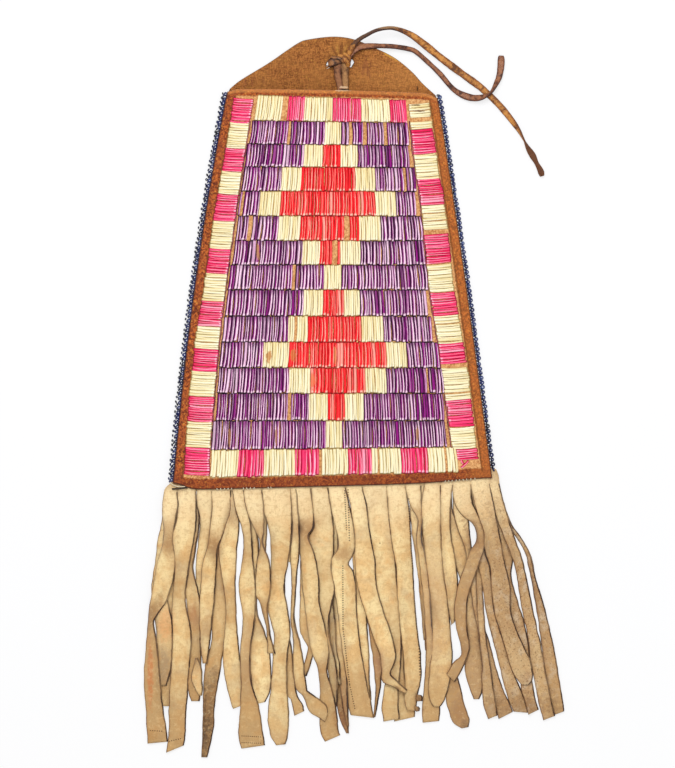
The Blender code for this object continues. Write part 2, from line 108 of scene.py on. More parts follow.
def smooth_line(points, count):
    """Points evenly along a curve through the given ones: between two points, each coordinate is the cubic
    that leaves and arrives along the chord of that point's neighbours. Columns after the third ride along."""
    points = np.asarray(points, dtype=float)
    ends = [2 * points[0] - points[1]], [2 * points[-1] - points[-2]]
    p = np.concatenate([ends[0], points, ends[1]])
    t = np.linspace(0, 1, CURVE_STEPS, endpoint=False)[None, :, None]
    a, b, c, d = (p[i:len(p) - 3 + i, None, :] for i in range(4))
    fine = 0.5 * (2 * b + (c - a) * t + (2 * a - 5 * b + 4 * c - d) * t ** 2
                  + (3 * b - a - 3 * c + d) * t ** 3)
    fine = np.concatenate([fine.reshape(-1, points.shape[1]), points[-1:]])
    walked = np.concatenate([[0], np.cumsum(np.linalg.norm(np.diff(fine[:, :3], axis=0), axis=1))])
    places = np.linspace(0, walked[-1], count)
    return np.stack([np.interp(places, walked, column) for column in fine.T], axis=1)


def unit(vectors):
    """Each vector divided by its own length."""
    return vectors / np.maximum(np.linalg.norm(vectors, axis=-1, keepdims=True), 1e-12)


def grid_faces(rows, columns, wrap):
    """Corner numbers of the squares between neighbouring points of a grid, row by row, and round the last
    column back to the first where the grid is a tube."""
    last = columns if wrap else columns - 1
    i, j = np.meshgrid(np.arange(rows - 1), np.arange(last), indexing="ij")
    k = (j + 1) % columns
    corners = [i * columns + j, i * columns + k, (i + 1) * columns + k, (i + 1) * columns + j]
    return np.stack(corners, -1).reshape(-1, 4)


def ring_faces(rows, columns):
    """Corner numbers of a grid that closes on itself both ways."""
    return grid_faces(rows + 1, columns, True) % (rows * columns)


def tube_faces(rings, sides):
    """Corner numbers of a tube along a line, closed at both ends, with its faces outwards."""
    first = list(range(sides))
    return [*grid_faces(rings, sides, True)[:, ::-1], first, [(rings - 1) * sides + j for j in first][::-1]]


def new_piece(name, points, faces, uv=None, facts=None, smooth=True):
    """A mesh object at the origin from an array of points and lists of corner numbers. uv gives each point a
    place on the pattern, and facts holds further named numbers, one for each point."""
    mesh = bpy.data.meshes.new(name)
    mesh.from_pydata(points.reshape(-1, 3).tolist(), [], [list(map(int, face)) for face in faces])
    corners = np.empty(len(mesh.loops), dtype=np.int32)
    mesh.loops.foreach_get("vertex_index", corners)
    if uv is not None:
        layer = mesh.uv_layers.new(name="pattern")
        layer.data.foreach_set("uv", uv.reshape(-1, 2)[corners].astype(np.float32).ravel())
    for label, values in (facts or {}).items():
        attribute = mesh.attributes.new(label, "FLOAT", "POINT")
        attribute.data.foreach_set("value", values.astype(np.float32).ravel())
    mesh.polygons.foreach_set("use_smooth", np.full(len(mesh.polygons), smooth))
    mesh.update()
    piece = bpy.data.objects.new(name, mesh)
    bpy.context.scene.collection.objects.link(piece)
    return piece


def dress(piece, material, slot, *nodes):
    """Gives a piece its material, fixes it to the bag and names the solids that it replaces. slot is not
    used.
    """
    piece.data.materials.append(material)
    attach(piece, "root")
    if nodes:
        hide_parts(*nodes)


def strip_along(line, width, thickness, twist, sides, floor=None):
    """A hide strip carried along a line: its section is a rounded slab, wide and thin as the arrays say,
    turned about the line by the twist. Returns the grid of points and the line, lifted so that the turned
    section clears the floor."""
    line = line.copy()
    if floor is not None:
        reach = np.sqrt((width / 2 * np.sin(twist)) ** 2 + (thickness / 2 * np.cos(twist)) ** 2)
        line[:, 2] = np.maximum(line[:, 2], floor + reach)
    forward = unit(np.gradient(line, axis=0))
    side = unit(np.cross(forward, [0.0, 0.0, 1.0]))
    up = np.cross(side, forward)
    angle = np.linspace(0, 2 * np.pi, sides, endpoint=False)
    across = np.sign(np.cos(angle)) * np.abs(np.cos(angle)) ** 0.7
    through = np.sign(np.sin(angle)) * np.abs(np.sin(angle)) ** 0.6
    a = across[None, :] * width[:, None] / 2
    b = through[None, :] * thickness[:, None] / 2
    c, s = np.cos(twist)[:, None], np.sin(twist)[:, None]
    points = (line[:, None, :] + side[:, None, :] * (a * c - b * s)[..., None]
              + up[:, None, :] * (a * s + b * c)[..., None])
    return points, line


def thong_piece(name, rows, count, seed, groove=0.0):
    """One run of thong through the given rows. The hide's edges wander a little, a groove may run down its
    upper face, and each end is closed by a rounded cut."""
    rows = np.array(rows, dtype=float)
    x, y = at_pixel(rows[:, 0], rows[:, 1], rows[:, 2] / 1000)
    run = smooth_line(np.stack([x, y, *(rows[:, 2:5].T / 1000), np.radians(rows[:, 5])], 1), count)
    wander = np.random.default_rng(seed).normal(0, 1, (2, count + THONG_SMOOTHING - 1))
    mean = np.ones(THONG_SMOOTHING) / THONG_SMOOTHING
    wander = np.stack([np.convolve(part, mean, mode="valid") for part in wander])
    t = np.linspace(0, 1, count)
    blunt = np.clip(np.minimum(t, 1 - t) * run.shape[0] / 3, 0, 1) ** 0.5 * 0.35 + 0.65
    points, line = strip_along(run[:, :3], run[:, 3] * (1 + WIDTH_PLAY * wander[0]) * blunt,
                               run[:, 4] * (1 + THICKNESS_PLAY * wander[1]) * blunt, run[:, 5],
                               THONG_SIDES, floor=THONG_GAP)
    around = np.linspace(0, 2 * np.pi, THONG_SIDES, endpoint=False)
    dip = groove * np.clip(np.sin(around), 0, 1) ** 6
    points -= unit(points - line[:, None, :]) * (dip[None, :] * (1 + 0.5 * wander[0][:, None]))[..., None]
    walked = np.linalg.norm(np.gradient(line, axis=0), axis=1).cumsum()
    uv = np.stack(np.broadcast_arrays(np.sin(around)[None, :] / 2 + 0.5, walked[:, None]), -1)
    return new_piece(name, points, tube_faces(count, THONG_SIDES), uv), line


long_tail, long_line = thong_piece("thong_tail_long_strip", LONG_TAIL, 220, 3, groove=0.0002)
short_tail, short_line = thong_piece("thong_tail_short_strip", SHORT_TAIL, 180, 4, groove=0.0001)

# The knot is an overhand turn of the same thong, pulled down on the hole: a flattened lump on the left, dark
# with handling, and a golden turn over its right end, under which both tails leave. The two legs lie side by
# side below it as one folded strap and go down into the mouth.
# The height over the floor of the thong's handled places, painted shadow and painted highlight
KNOT_HEIGHT = 0.004
KNOT_LUMP = [
    (346.0, 62.4, 3.6, 1.6, 1.6, 0), (342.0, 61.2, 4.4, 2.6, 2.0, 0), (338.6, 61.2, 4.9, 3.8, 2.3, 4),
    (335.2, 61.8, 5.0, 4.8, 2.5, 2), (332.0, 62.6, 4.8, 5.2, 2.6, -4), (330.0, 63.4, 4.0, 4.8, 2.6, -8),
    (328.8, 63.9, 3.0, 3.8, 2.0, -8),
]
KNOT_FOLD = [
    (331.0, 57.2, 3.6, 1.6, 1.4, 10), (334.0, 58.0, 5.0, 2.0, 1.8, 20), (338.0, 58.2, 5.8, 2.2, 1.8, 10),
    (341.4, 59.8, 5.8, 2.2, 1.7, -10), (343.6, 62.4, 4.8, 2.0, 1.6, -20),
]
KNOT_TURN = [
    (338.0, 55.6, 3.8, 2.4, 1.8, 20), (341.4, 56.6, 5.2, 2.9, 2.0, 10), (344.6, 58.8, 6.0, 3.2, 2.1, 0),
    (347.0, 61.4, 5.8, 3.3, 2.1, -10), (348.2, 64.2, 4.8, 3.0, 2.0, -15), (347.8, 66.8, 3.4, 2.4, 1.8, -10),
]
KNOT_PLEAT = [
    (343.5, 53.6, 3.2, 2.0, 1.6, 0), (346.6, 55.0, 4.4, 2.6, 1.8, -10), (349.0, 57.6, 4.8, 2.6, 1.8, -15),
    (349.2, 61.0, 4.0, 2.2, 1.6, -10),
]
LEFT_LEG = [
    (337.6, 61.4, 3.6, 4.8, 2.0, -10), (337.3, 66.0, 3.6, 5.0, 2.0, -14), (337.4, 71.0, 3.5, 4.9, 1.9, -14),
    (337.9, 76.5, 3.4, 4.8, 1.9, -12), (339.2, 82.3, 3.3, 4.2, 1.9, -10), (340.2, 87.0, 3.3, 3.9, 1.8, -6),
    (340.6, 92.0, 3.3, 3.8, 1.8, 0), (341.0, 104.0, 3.3, 3.6, 1.7, 0), (341.0, 116.0, 3.3, 3.5, 1.6, 0),
]
RIGHT_LEG = [
    (344.6, 61.4, 3.4, 4.6, 2.0, 8), (344.9, 66.0, 3.4, 4.8, 2.0, 14), (345.0, 71.0, 3.4, 4.7, 1.9, 16),
    (345.0, 76.5, 3.3, 4.6, 1.9, 14), (345.2, 82.3, 3.3, 4.3, 1.9, 12), (345.5, 87.0, 3.2, 4.0, 1.8, 8),
    (345.7, 92.0, 3.2, 3.9, 1.8, 0), (346.6, 104.0, 3.3, 3.6, 1.7, 0), (347.4, 116.0, 3.3, 3.5, 1.6, 0),
]
knot_lump, _ = thong_piece("thong_knot_lump", KNOT_LUMP, 60, 5, groove=0.0003)
knot_fold, _ = thong_piece("thong_knot_fold", KNOT_FOLD, 46, 9)
knot_turn, _ = thong_piece("thong_knot_turn", KNOT_TURN, 52, 6, groove=0.0003)
knot_pleat, _ = thong_piece("thong_knot_pleat", KNOT_PLEAT, 40, 10)
left_leg, _ = thong_piece("thong_leg_left_strip", LEFT_LEG, 80, 7, groove=0.0002)
right_leg, _ = thong_piece("thong_leg_right_strip", RIGHT_LEG, 80, 8, groove=0.0004)


def paint(red, green, blue):
    """A colour given in 0 to 255 screen values, as the linear colour that a shader wants."""
    screen = np.array([red, green, blue]) / 255
    linear = np.where(screen <= 0.04045, screen / 12.92, ((screen + 0.055) / 1.055) ** 2.4)
    return (*linear.tolist(), 1.0)


class Dye:
    """A value or colour on its way to a shader. Sums, differences and products add Math nodes."""

    def __init__(self, tree, socket=None):
        self.tree = tree
        self.socket = socket

    def node(self, kind, settings=None, inputs=None, output=0):
        """A node of any type: first its settings are set, then each input gets a link or a value."""
        made = self.tree.nodes.new(kind)
        for key, value in (settings or {}).items():
            setattr(made, key, value)
        for key, value in (inputs or {}).items():
            if isinstance(value, Dye):
                self.tree.links.new(value.socket, made.inputs[key])
            else:
                made.inputs[key].default_value = value
        return Dye(self.tree, made.outputs[output])

    def twin(self, output):
        """Another output of the same node."""
        return Dye(self.tree, self.socket.node.outputs[output])

    def maths(self, operation, *others):
        """A Math node on this value and the others."""
        return self.node("ShaderNodeMath", {"operation": operation}, dict(enumerate((self, *others))))

    def __add__(self, other):
        return self.maths("ADD", other)

    def __sub__(self, other):
        return self.maths("SUBTRACT", other)

    def __mul__(self, other):
        return self.maths("MULTIPLY", other)

    def __rsub__(self, other):
        return self.node("ShaderNodeMath", {"operation": "SUBTRACT"}, {0: other, 1: self})

    __radd__ = __add__
    __rmul__ = __mul__

    def between(self, low, high):
        """0 below low, 1 above high, and smooth in between. With low over high it runs the other way."""
        return self.node("ShaderNodeMapRange", {"interpolation_type": "SMOOTHSTEP"}, {
            0: self, 1: low, 2: high})

    def tint(self, colour, other):
        """The first colour where this is 0 and the other where it is 1. Each is three screen values or what
        other nodes made."""
        first, second = (part if isinstance(part, Dye) else paint(*part) for part in (colour, other))
        return self.node("ShaderNodeMix", {"data_type": "RGBA"}, {0: self, 6: first, 7: second}, output=2)


class Finish:
    """A new material with the patterns that hide, quill and glass are painted from."""

    def __init__(self, name, roughness, sheen=0.0, coat=0.0):
        self.material = bpy.data.materials.new(name)
        self.material.use_nodes = True
        self.tree = self.material.node_tree
        self.shader = self.tree.nodes["Principled BSDF"]
        self.shader.inputs["Roughness"].default_value = roughness
        self.shader.inputs["Specular IOR Level"].default_value = 0.3
        self.shader.inputs["Sheen Weight"].default_value = sheen
        self.shader.inputs["Coat Weight"].default_value = coat
        self.node = Dye(self.tree).node
        self.place = self.node("ShaderNodeTexCoord", output=3)
        self.wobble = None

    def pattern(self):
        """Across and along the piece's own pattern map."""
        across = self.node("ShaderNodeSeparateXYZ", inputs={0: self.node("ShaderNodeTexCoord", output=2)})
        return across, across.twin(1)

    def fact(self, name):
        """A number that the mesh holds for each point."""
        return self.node("ShaderNodeAttribute", {"attribute_name": name}, output=2)

    def stretched(self, x, y, z):
        """The place with each direction scaled, for streaks."""
        return self.node("ShaderNodeMapping", inputs={0: self.place, 3: (x, y, z)})

    def clouds(self, scale, detail=4.0, warp=0.0, place=None, rough=0.5):
        """Soft noise with scale blobs to a metre, about 0.5 on average."""
        return self.node("ShaderNodeTexNoise", inputs={
            "Vector": place or self.place, "Scale": scale, "Detail": detail, "Distortion": warp,
            "Roughness": rough})

    def cells(self, scale, place=None):
        """The distance to the nearest grain of a scatter with scale grains to a metre."""
        return self.node("ShaderNodeTexVoronoi", inputs={"Vector": place or self.place, "Scale": scale})

    def moved(self, x, y, height, turn):
        """The place measured from a point, on axes turned against the clock by an angle in radians."""
        moved = self.node("ShaderNodeVectorMath", {"operation": "SUBTRACT"}, {
            0: self.place, 1: (float(x), float(y), height)})
        return self.node("ShaderNodeVectorRotate", {"rotation_type": "Z_AXIS"}, {0: moved, "Angle": -turn})

    def spot(self, px, py, wide, tall, turn=0.0, height=0.0, soft=0.22):
        """1 within an uneven oval round a pixel of the photograph and 0 well outside it. Its half width and
        half height are in pixels, the turn in degrees runs against the clock, it lies at a height in
        metres, and its edge fades over the soft share of its size."""
        shrunk = self.node("ShaderNodeVectorMath", {"operation": "DIVIDE"}, {
            0: self.moved(*at_pixel(px, py, height), height, math.radians(turn)),
            1: (wide * PIXEL, tall * PIXEL, 1.0)})
        away = self.node("ShaderNodeVectorMath", {"operation": "LENGTH"}, {0: shrunk}, output=1)
        self.wobble = self.wobble or (self.clouds(420, 4.0, 0.5, rough=0.65) - 0.5) * 2.2
        return (away + self.wobble).between(1.0 + soft, 1.0 - soft)

    def holes(self, first, last, spacing, size):
        """1 within the holes of a needle row between two pixels of the photograph. Spacing and half width
        are in pixels, and along the row a sine opens and closes the holes."""
        (x0, y0), (x1, y1) = at_pixel(*first), at_pixel(*last)
        length = math.hypot(x1 - x0, y1 - y0)
        row = self.moved(x0, y0, 0.0, math.atan2(y1 - y0, x1 - x0))
        along = self.node("ShaderNodeSeparateXYZ", inputs={0: row})
        beat = (along * (2 * math.pi / (spacing * PIXEL))).maths("SINE").between(-0.2, 0.3)
        within = along.between(-0.0002, 0.0002) * along.between(length + 0.0002, length - 0.0002)
        return along.twin(1).maths("ABSOLUTE").between(size * 1.3 * PIXEL, size * 0.7 * PIXEL) * beat * within

    def give(self, colour, relief=None, depth=0.0003):
        """Links the finished colour and the relief as a bump that deep, and returns the material."""
        self.tree.links.new(colour.socket, self.shader.inputs["Base Color"])
        if relief is not None:
            bump = self.node("ShaderNodeBump", inputs={"Height": relief, "Distance": depth, "Strength": 1.0})
            self.tree.links.new(bump.socket, self.shader.inputs["Normal"])
        return self.material


def thong_finish(name, dark, middle, light, spots=()):
    """Oiled hide: a mottled middle colour drawn out along the strip, lighter along its raised middle, partly
    worn and partly painted highlight, dark in the pores, and dark down both edges, partly where hands and
    damp have blackened the cut hide and partly painted shade on the strip's sides. Spots are ovals of
    another colour, with places and halves in the picture's pixels."""
    finish = Finish(name, roughness=0.6, coat=0.05)
    around, along = finish.pattern()
    drawn = finish.node("ShaderNodeCombineXYZ", inputs={0: around * 1.6, 1: along * 190.0})
    blotch = finish.clouds(1.0, 4.0, 0.5, place=drawn) * 0.6 + finish.clouds(520, 4.0, 0.5) * 0.4
    grain = finish.clouds(1500, 4.0, 0.2)
    colour = blotch.between(0.32, 0.54).tint(dark, middle)
    # Lighter along the raised middle: partly wear, partly painted highlight
    ridge_wear_and_highlight = (around + (blotch - 0.5) * 0.9).between(0.86, 1.04)
    colour = (ridge_wear_and_highlight * 0.85).tint(colour, light)
    colour = (grain.between(0.42, 0.30) * 0.6).tint(colour, dark)
    # Dark down both edges: partly blackened cut hide, partly painted shade on the strip's sides
    edge = (around + blotch * 0.30 - 0.15).between(0.80, 0.56)
    colour = (edge * 0.85).tint(colour, dark)
    for px, py, wide, tall, shows in spots:
        colour = (finish.spot(px, py, wide, tall, height=KNOT_HEIGHT) * 0.9).tint(colour, shows)
    return finish.give(colour, grain + blotch * 2, 0.0003)


# Where the strap goes down behind the hem, a painted shadow makes it black, with a painted highlight
# above it, and the long tail's first third is dark with handling
# A painted highlight over a painted shadow where the strap goes into the mouth
SLIT_SHADOW_AND_HIGHLIGHT = [
    (344.2, 87.3, 3.8, 1.2, (232, 196, 156)), (344.6, 89.5, 5.0, 0.9, (16, 10, 8)),
]
HANDLED = [
    (372.0, 36.0, 30.0, 12.0, (66, 42, 32)), (384.0, 28.4, 18.0, 1.2, (150, 112, 74)),
]
golden = thong_finish("oiled_golden_thong", (82, 44, 18), (150, 88, 36), (208, 144, 70), HANDLED)
brown = thong_finish("handled_brown_thong", (54, 28, 18), (112, 64, 42), (166, 110, 74))
knotted = thong_finish("knotted_dark_thong", (30, 15, 8), (88, 50, 28), (166, 112, 66))
red_strap = thong_finish("reddish_strap_thong", (66, 36, 22), (116, 70, 42), (158, 106, 68), SLIT_SHADOW_AND_HIGHLIGHT)
strap = thong_finish("folded_strap_thong", (72, 44, 22), (126, 84, 46), (180, 132, 82), SLIT_SHADOW_AND_HIGHLIGHT)
dress(long_tail, golden, "golden_thong", "thong_tail_long")
dress(short_tail, brown, "dark_thong", "thong_tail_short")
dress(knot_lump, knotted, "dark_thong", "thong_knot")
dress(knot_fold, knotted, "dark_thong")
dress(knot_turn, golden, "golden_thong")
dress(knot_pleat, golden, "golden_thong")
dress(left_leg, red_strap, "golden_thong", "thong_leg_left")
dress(right_leg, strap, "golden_thong", "thong_leg_right")

# The back: one smoked hide, 1.3 mm thick, that makes the pouch's plain back and the rounded flap above
# the mouth. The thong goes through a worn, eye-shaped hole in the flap.
BODY_LENGTH = 0.2352
MOUTH_WIDTH = 0.1260
SEAM_WIDTH = 0.1910
LEFT_BOW = 0.0036
RIGHT_BOW = 0.0012
MOUTH_SKEW = 0.0027
SEAM_SKEW = 0.0050
BACK_HIDE = 0.0013
FLAP_EDGE_PX = [
    (436.8, 96.5), (423, 84), (412, 72), (396.6, 59.5), (380, 50.6), (354.7, 39.8), (333, 36.8),
    (307.5, 39.8), (298.6, 43), (287, 50.6), (269, 63), (241, 80), (228.6, 90),
]
EDGE_POINTS = 90
FLAP_POINTS = 150
EYE_POINTS = 240
BACK_RINGS = 44
RING_CROWDING = 1.6
# Corners worn round or drawn up: u and v, how far, and how widely in u and v
CORNERS = [
    (0, 0, 0.0042, 0.045, 0.035), (1, 0, 0.0024, 0.16, 0.10), (1, 1, -0.0026, 0.035, 0.020),
    (0, 1, -0.0014, 0.03, 0.02),
]
# The hole's outline as far as it shows round the knot
HOLE_EDGE_PX = [
    (354.0, 62.6), (353.0, 60.8), (350.8, 59.0), (346.0, 57.4), (339.0, 57.0), (332.0, 58.2), (328.6, 60.6),
    (326.6, 64.0), (325.7, 68.0), (326.2, 70.0), (327.4, 69.0), (328.4, 65.8), (332.0, 64.4), (340.0, 65.0),
    (347.0, 66.0), (350.6, 67.6), (352.4, 65.2),
]
HOLE = np.array([0.0049, 0.1365])
RIM = 0.0004


def bell(x, middle, width):
    """1 at the middle and falling off smoothly to nothing, a bell curve of that width."""
    return np.exp(-((x - middle) / width) ** 2)


def side_x(side, v):
    """Half the width at v, a straight taper from seam to mouth, bowed out by a parabola."""
    bow = LEFT_BOW if side < 0 else RIGHT_BOW
    return side * ((SEAM_WIDTH + (MOUTH_WIDTH - SEAM_WIDTH) * v) / 2 + bow * 4 * v * (1 - v))


def pouch_place(u, v):
    """x and y on the pouch: u from the left edge to the right one, v from the bottom seam to the mouth."""
    x = side_x(-1, v) * (1 - u) + side_x(1, v) * u
    skew = SEAM_SKEW + (-MOUTH_SKEW - SEAM_SKEW) * v
    y = (v - 0.5) * BODY_LENGTH + (u - 0.5) * skew
    for corner_u, corner_v, rise, wide, deep in CORNERS:
        y = y + rise * bell(u, corner_u, wide) * bell(v, corner_v, deep)
    return x, y


along = np.linspace(0, 1, EDGE_POINTS)
flap_edge = smooth_line(np.stack(at_pixel(*np.array(FLAP_EDGE_PX).T), 1), FLAP_POINTS)
hide_edge = np.concatenate([
    np.stack(pouch_place(along, 0 * along), 1),
    np.stack(pouch_place(0 * along + 1, along), 1)[1:],
    flap_edge[1:-1],
    np.stack(pouch_place(0 * along, 1 - along), 1)[:-1],
])
angles = np.arctan2(hide_edge[:, 1] - HOLE[1], hide_edge[:, 0] - HOLE[0])
eye = smooth_line(np.stack(at_pixel(*np.array(HOLE_EDGE_PX + HOLE_EDGE_PX[:1]).T), 1), EYE_POINTS) - HOLE
eye_angles = np.arctan2(eye[:, 1], eye[:, 0])
reach = np.interp(angles, *np.array(sorted(zip(eye_angles, np.hypot(*eye.T)))).T, period=2 * np.pi)
hole_edge = HOLE + reach[:, None] * np.stack([np.cos(angles), np.sin(angles)], 1)
rings = np.linspace(0, 1, BACK_RINGS) ** RING_CROWDING
flat = hole_edge[None] + (hide_edge - hole_edge)[None] * rings[:, None, None]


def hide_lift(x, y):
    """How far the loose flap stands off the floor: it rises towards its top right edge, cups a little on the
    left and puckers in rays round the hole, and lies flat from the mouth down."""
    loose = np.clip((y - 0.121) / 0.02, 0, 1) ** 2
    right = 0.0016 * bell(x, 0.036, 0.020) * bell(y, 0.143, 0.014)
    left = 0.0007 * bell(x, -0.034, 0.016) * bell(y, 0.140, 0.014)
    return loose * (right + left + 0.0003 * (1 + hide_folds(x, y)))


def hide_folds(x, y):
    """The puckers that the tight knot draws up above the hole: waves in the angle round it that are strongest
    straight above it and die away a finger's breadth out, from -1 in the creases to 1 on the folds."""
    angle = np.arctan2(y - HOLE[1], x - HOLE[0])
    away = np.hypot(x - HOLE[0], y - HOLE[1])
    above = bell(angle, 1.5, 1.1) + 0.35 * bell(angle, -1.5, 2.0)
    return np.sin(11 * angle + 60 * away) * np.minimum(above, 1) * bell(away, 0.0075, 0.0042)


def closed_sheet(flat, lift, thickness, rim):
    """A sheet between two edges, from a grid of rings: its upper and lower faces follow the lift, and each
    edge is rounded by a ring halfway up."""
    inner = flat[0] + unit(flat[1] - flat[0]) * rim
    outer = flat[-1] - unit(flat[-1] - flat[-2]) * rim
    face = np.concatenate([inner[None], flat[1:-1], outer[None]])
    height = lift(face[..., 0], face[..., 1])
    middle = lift(flat[..., 0], flat[..., 1]) + thickness / 2
    top = np.concatenate([face, (height + thickness)[..., None]], -1)
    bottom = np.concatenate([face, height[..., None]], -1)
    edge = np.concatenate([flat, middle[..., None]], -1)
    return np.concatenate([edge[:1], top, edge[-1:], bottom[::-1]])


back_points = closed_sheet(flat, hide_lift, BACK_HIDE, RIM)
back_faces = ring_faces(*back_points.shape[:2])
outward = np.concatenate([[0], rings, [1], rings[::-1]])[:, None] + 0 * back_points[..., 0]
back = new_piece("back_hide", back_points, back_faces[:, ::-1], facts={
    "rim": outward, "fold": hide_folds(back_points[..., 0], back_points[..., 1])})


def hide_relief(finish, fine=1400):
    """The nap of brain-tanned hide: fine fibres over soft lumps."""
    return finish.clouds(fine, 5.0, 0.4, rough=0.65) + finish.clouds(fine / 5, 3.0, 0.2)


finish = Finish("smoked_flap_hide", roughness=0.9, sheen=0.05)
weft = finish.clouds(1.0, 3.0, 0.5, place=finish.stretched(420.0, 1900.0, 300.0), rough=0.6)
warp = finish.clouds(1.0, 3.0, 0.5, place=finish.stretched(1900.0, 420.0, 300.0), rough=0.6)
nap = weft * 0.5 + warp * 0.5
colour = nap.between(0.42, 0.58).tint((116, 64, 24), (186, 118, 58))
colour = (finish.clouds(1150, 4.0, 0.4, rough=0.7).between(0.54, 0.68) * 0.7).tint(colour, (206, 148, 62))
colour = (finish.clouds(1700, 3.0, 0.8, rough=0.7).between(0.46, 0.34) * 0.55).tint(colour, (102, 54, 24))
colour = (finish.cells(900).between(0.26, 0.14) * 0.3).tint(colour, (132, 60, 28))
colour = (finish.clouds(55, 4.0, 0.5).between(0.40, 0.64) * 0.30).tint(colour, (186, 126, 62))
colour = (finish.spot(292.0, 76.0, 50.0, 24.0, soft=0.8) * 0.20).tint(colour, (126, 76, 36))
colour = (finish.spot(398.0, 78.0, 36.0, 20.0, soft=0.8) * 0.25).tint(colour, (204, 140, 74))
streaks = finish.clouds(1.0, 3.0, 0.3, place=finish.stretched(420.0, 60.0, 60.0)).between(0.50, 0.64)
reddish = finish.spot(368.0, 66.5, 9.0, 10.0) + finish.spot(250.0, 82.0, 14.0, 7.0) * 0.6
colour = (streaks * reddish * 0.40).tint(colour, (116, 56, 44))
colour = (finish.spot(391.0, 55.6, 11.0, 2.6, turn=-31.0) * 0.8).tint(colour, (206, 150, 62))
colour = (finish.spot(417.2, 88.6, 1.0, 2.4) * 0.9).tint(colour, (74, 44, 16))
rim = finish.fact("rim")
colour = (rim.between(0.988, 1.0) * 0.75).tint(colour, (92, 66, 44))
colour = (rim.between(0.02, 0.004) * 0.8).tint(colour, (86, 50, 22))
# Painted highlight on the puckers' folds and painted shade in their creases round the hole
colour = (finish.fact("fold").between(0.25, 0.8) * 0.30).tint(colour, (206, 156, 72))
colour = (finish.fact("fold").between(-0.15, -0.7) * 0.50).tint(colour, (84, 40, 22))
dress(back, finish.give(colour, nap * 0.8 + hide_relief(finish), 0.0004), "flap_hide", "back_panel")

# The front: a thinner hide stained red brown, sewn down on three sides so that it bellies up a little.
# Its mouth edge is turned under into a narrow hem, and its raw edges show at the sides and the bottom.
FRONT_HIDE = 0.0011
FRINGE_HIDE = 0.0012
PUFF = 0.0080
PUFF_RISE = 0.0750
PUFF_EXPONENT = 2.5
STACK_FALL = 8
HEM_DEPTH = 0.0055
HEM_RISE = 0.0300
HEADER_DEPTH = 0.0080
CLEARANCE = 0.0003
FRONT_GRID = (170, 230)
FOLD_STEPS = 12
HEM_ROWS = 7


def stack_height(v):
    """The height between the hides at their edges: clearance, the fringe's two plies fading out from the
    seam, and the folded hem growing towards the mouth."""
    plies = 2 * (FRINGE_HIDE + CLEARANCE)
    start = (HEADER_DEPTH + CLEARANCE) / BODY_LENGTH
    fall = np.maximum(0.0, (v - start) / (1 - start))
    to_hem = (v - 1) * BODY_LENGTH + HEM_DEPTH + HEM_RISE
    hem = np.clip(to_hem / HEM_RISE, 0, 1) ** 2 * (FRONT_HIDE + CLEARANCE)
    return CLEARANCE + plies * (1 - np.clip(fall, 0, 1)) ** STACK_FALL + hem


def front_top(u, v):
    """The outer face's height: the back hide, the stack, the front hide and the puff, which is a flat-topped
    hump across the pouch and rises from the seam along a parabola."""
    across = 1 - np.abs(2 * u - 1) ** PUFF_EXPONENT
    rise = 1 - (1 - np.clip(v * BODY_LENGTH / PUFF_RISE, 0, 1)) ** 2
    return BACK_HIDE + stack_height(v) + FRONT_HIDE + PUFF * across * rise


def front_point(u, v, lift=0.0):
    """A point on the front hide or the given height above it."""
    u, v = np.broadcast_arrays(np.asarray(u, dtype=float), np.asarray(v, dtype=float))
    x, y = pouch_place(u, v)
    return np.stack([x, y, front_top(u, v) + lift], -1)


u_front = np.linspace(0, 1, FRONT_GRID[0])
v_front = np.linspace(0, 1, FRONT_GRID[1])
u_grid, v_grid = np.meshgrid(u_front, v_front)
outer = front_point(u_grid, v_grid)
fold_radius = FRONT_HIDE + CLEARANCE / 2
turn = np.linspace(0, np.pi, FOLD_STEPS + 1)[1:, None]
bent = np.stack([0 * turn, fold_radius * np.sin(turn), -fold_radius * (1 - np.cos(turn))], -1)
fold = outer[-1][None] + bent
v_under = np.linspace(1, 1 - HEM_DEPTH / BODY_LENGTH, HEM_ROWS + 1)[1:]
under = front_point(u_front[None], v_under[:, None], -2 * fold_radius)
front_grid = np.concatenate([outer, fold, under])
front_v = np.concatenate([v_front, 1 + 0 * turn[:, 0], v_under])
front_uv = np.stack(np.broadcast_arrays(u_front[None], front_v[:, None]), -1)
front = new_piece("front_hide", front_grid, grid_faces(*front_grid.shape[:2], False), front_uv)
wall = front.modifiers.new("hide", "SOLIDIFY")
wall.thickness = FRONT_HIDE
wall.offset = -1.0
wall.use_even_offset = False

finish = Finish("stained_front_hide", roughness=0.85, sheen=0.1)
across, along_v = finish.pattern()
width_mm = (MOUTH_WIDTH - SEAM_WIDTH) * 1000 * along_v + SEAM_WIDTH * 1000
from_side = across.maths("MINIMUM", 1 - across) * width_mm
from_bottom = along_v * BODY_LENGTH * 1000
from_top = (1 - along_v) * BODY_LENGTH * 1000
edge_noise = finish.clouds(500, 3.0) * 1.6 - 0.8
in_quills = ((from_side + edge_noise).between(5.2, 6.4) * (from_bottom + edge_noise).between(6.0, 7.2)
             * (from_top + edge_noise).between(2.4, 3.4))
speckles = finish.cells(560, place=finish.stretched(1.0, 0.8, 1.0))
rust = finish.clouds(700, 5.0, 0.6, rough=0.78).between(0.43, 0.57).tint((98, 38, 12), (204, 108, 44))
rust = (finish.cells(430).between(0.30, 0.16) * 0.75).tint(rust, (226, 152, 64))
rust = (speckles.between(0.34, 0.20) * 0.8).tint(rust, (94, 22, 12))
rust = (finish.clouds(1100, 3.0, 1.0, rough=0.7).between(0.45, 0.35) * 0.8).tint(rust, (78, 26, 12))
rust = (finish.clouds(90, 3.0, 0.3).between(0.42, 0.62) * 0.35).tint(rust, (158, 76, 40))
rust = (from_bottom.between(9.0, 5.0) * 0.45).tint(rust, (124, 52, 24))
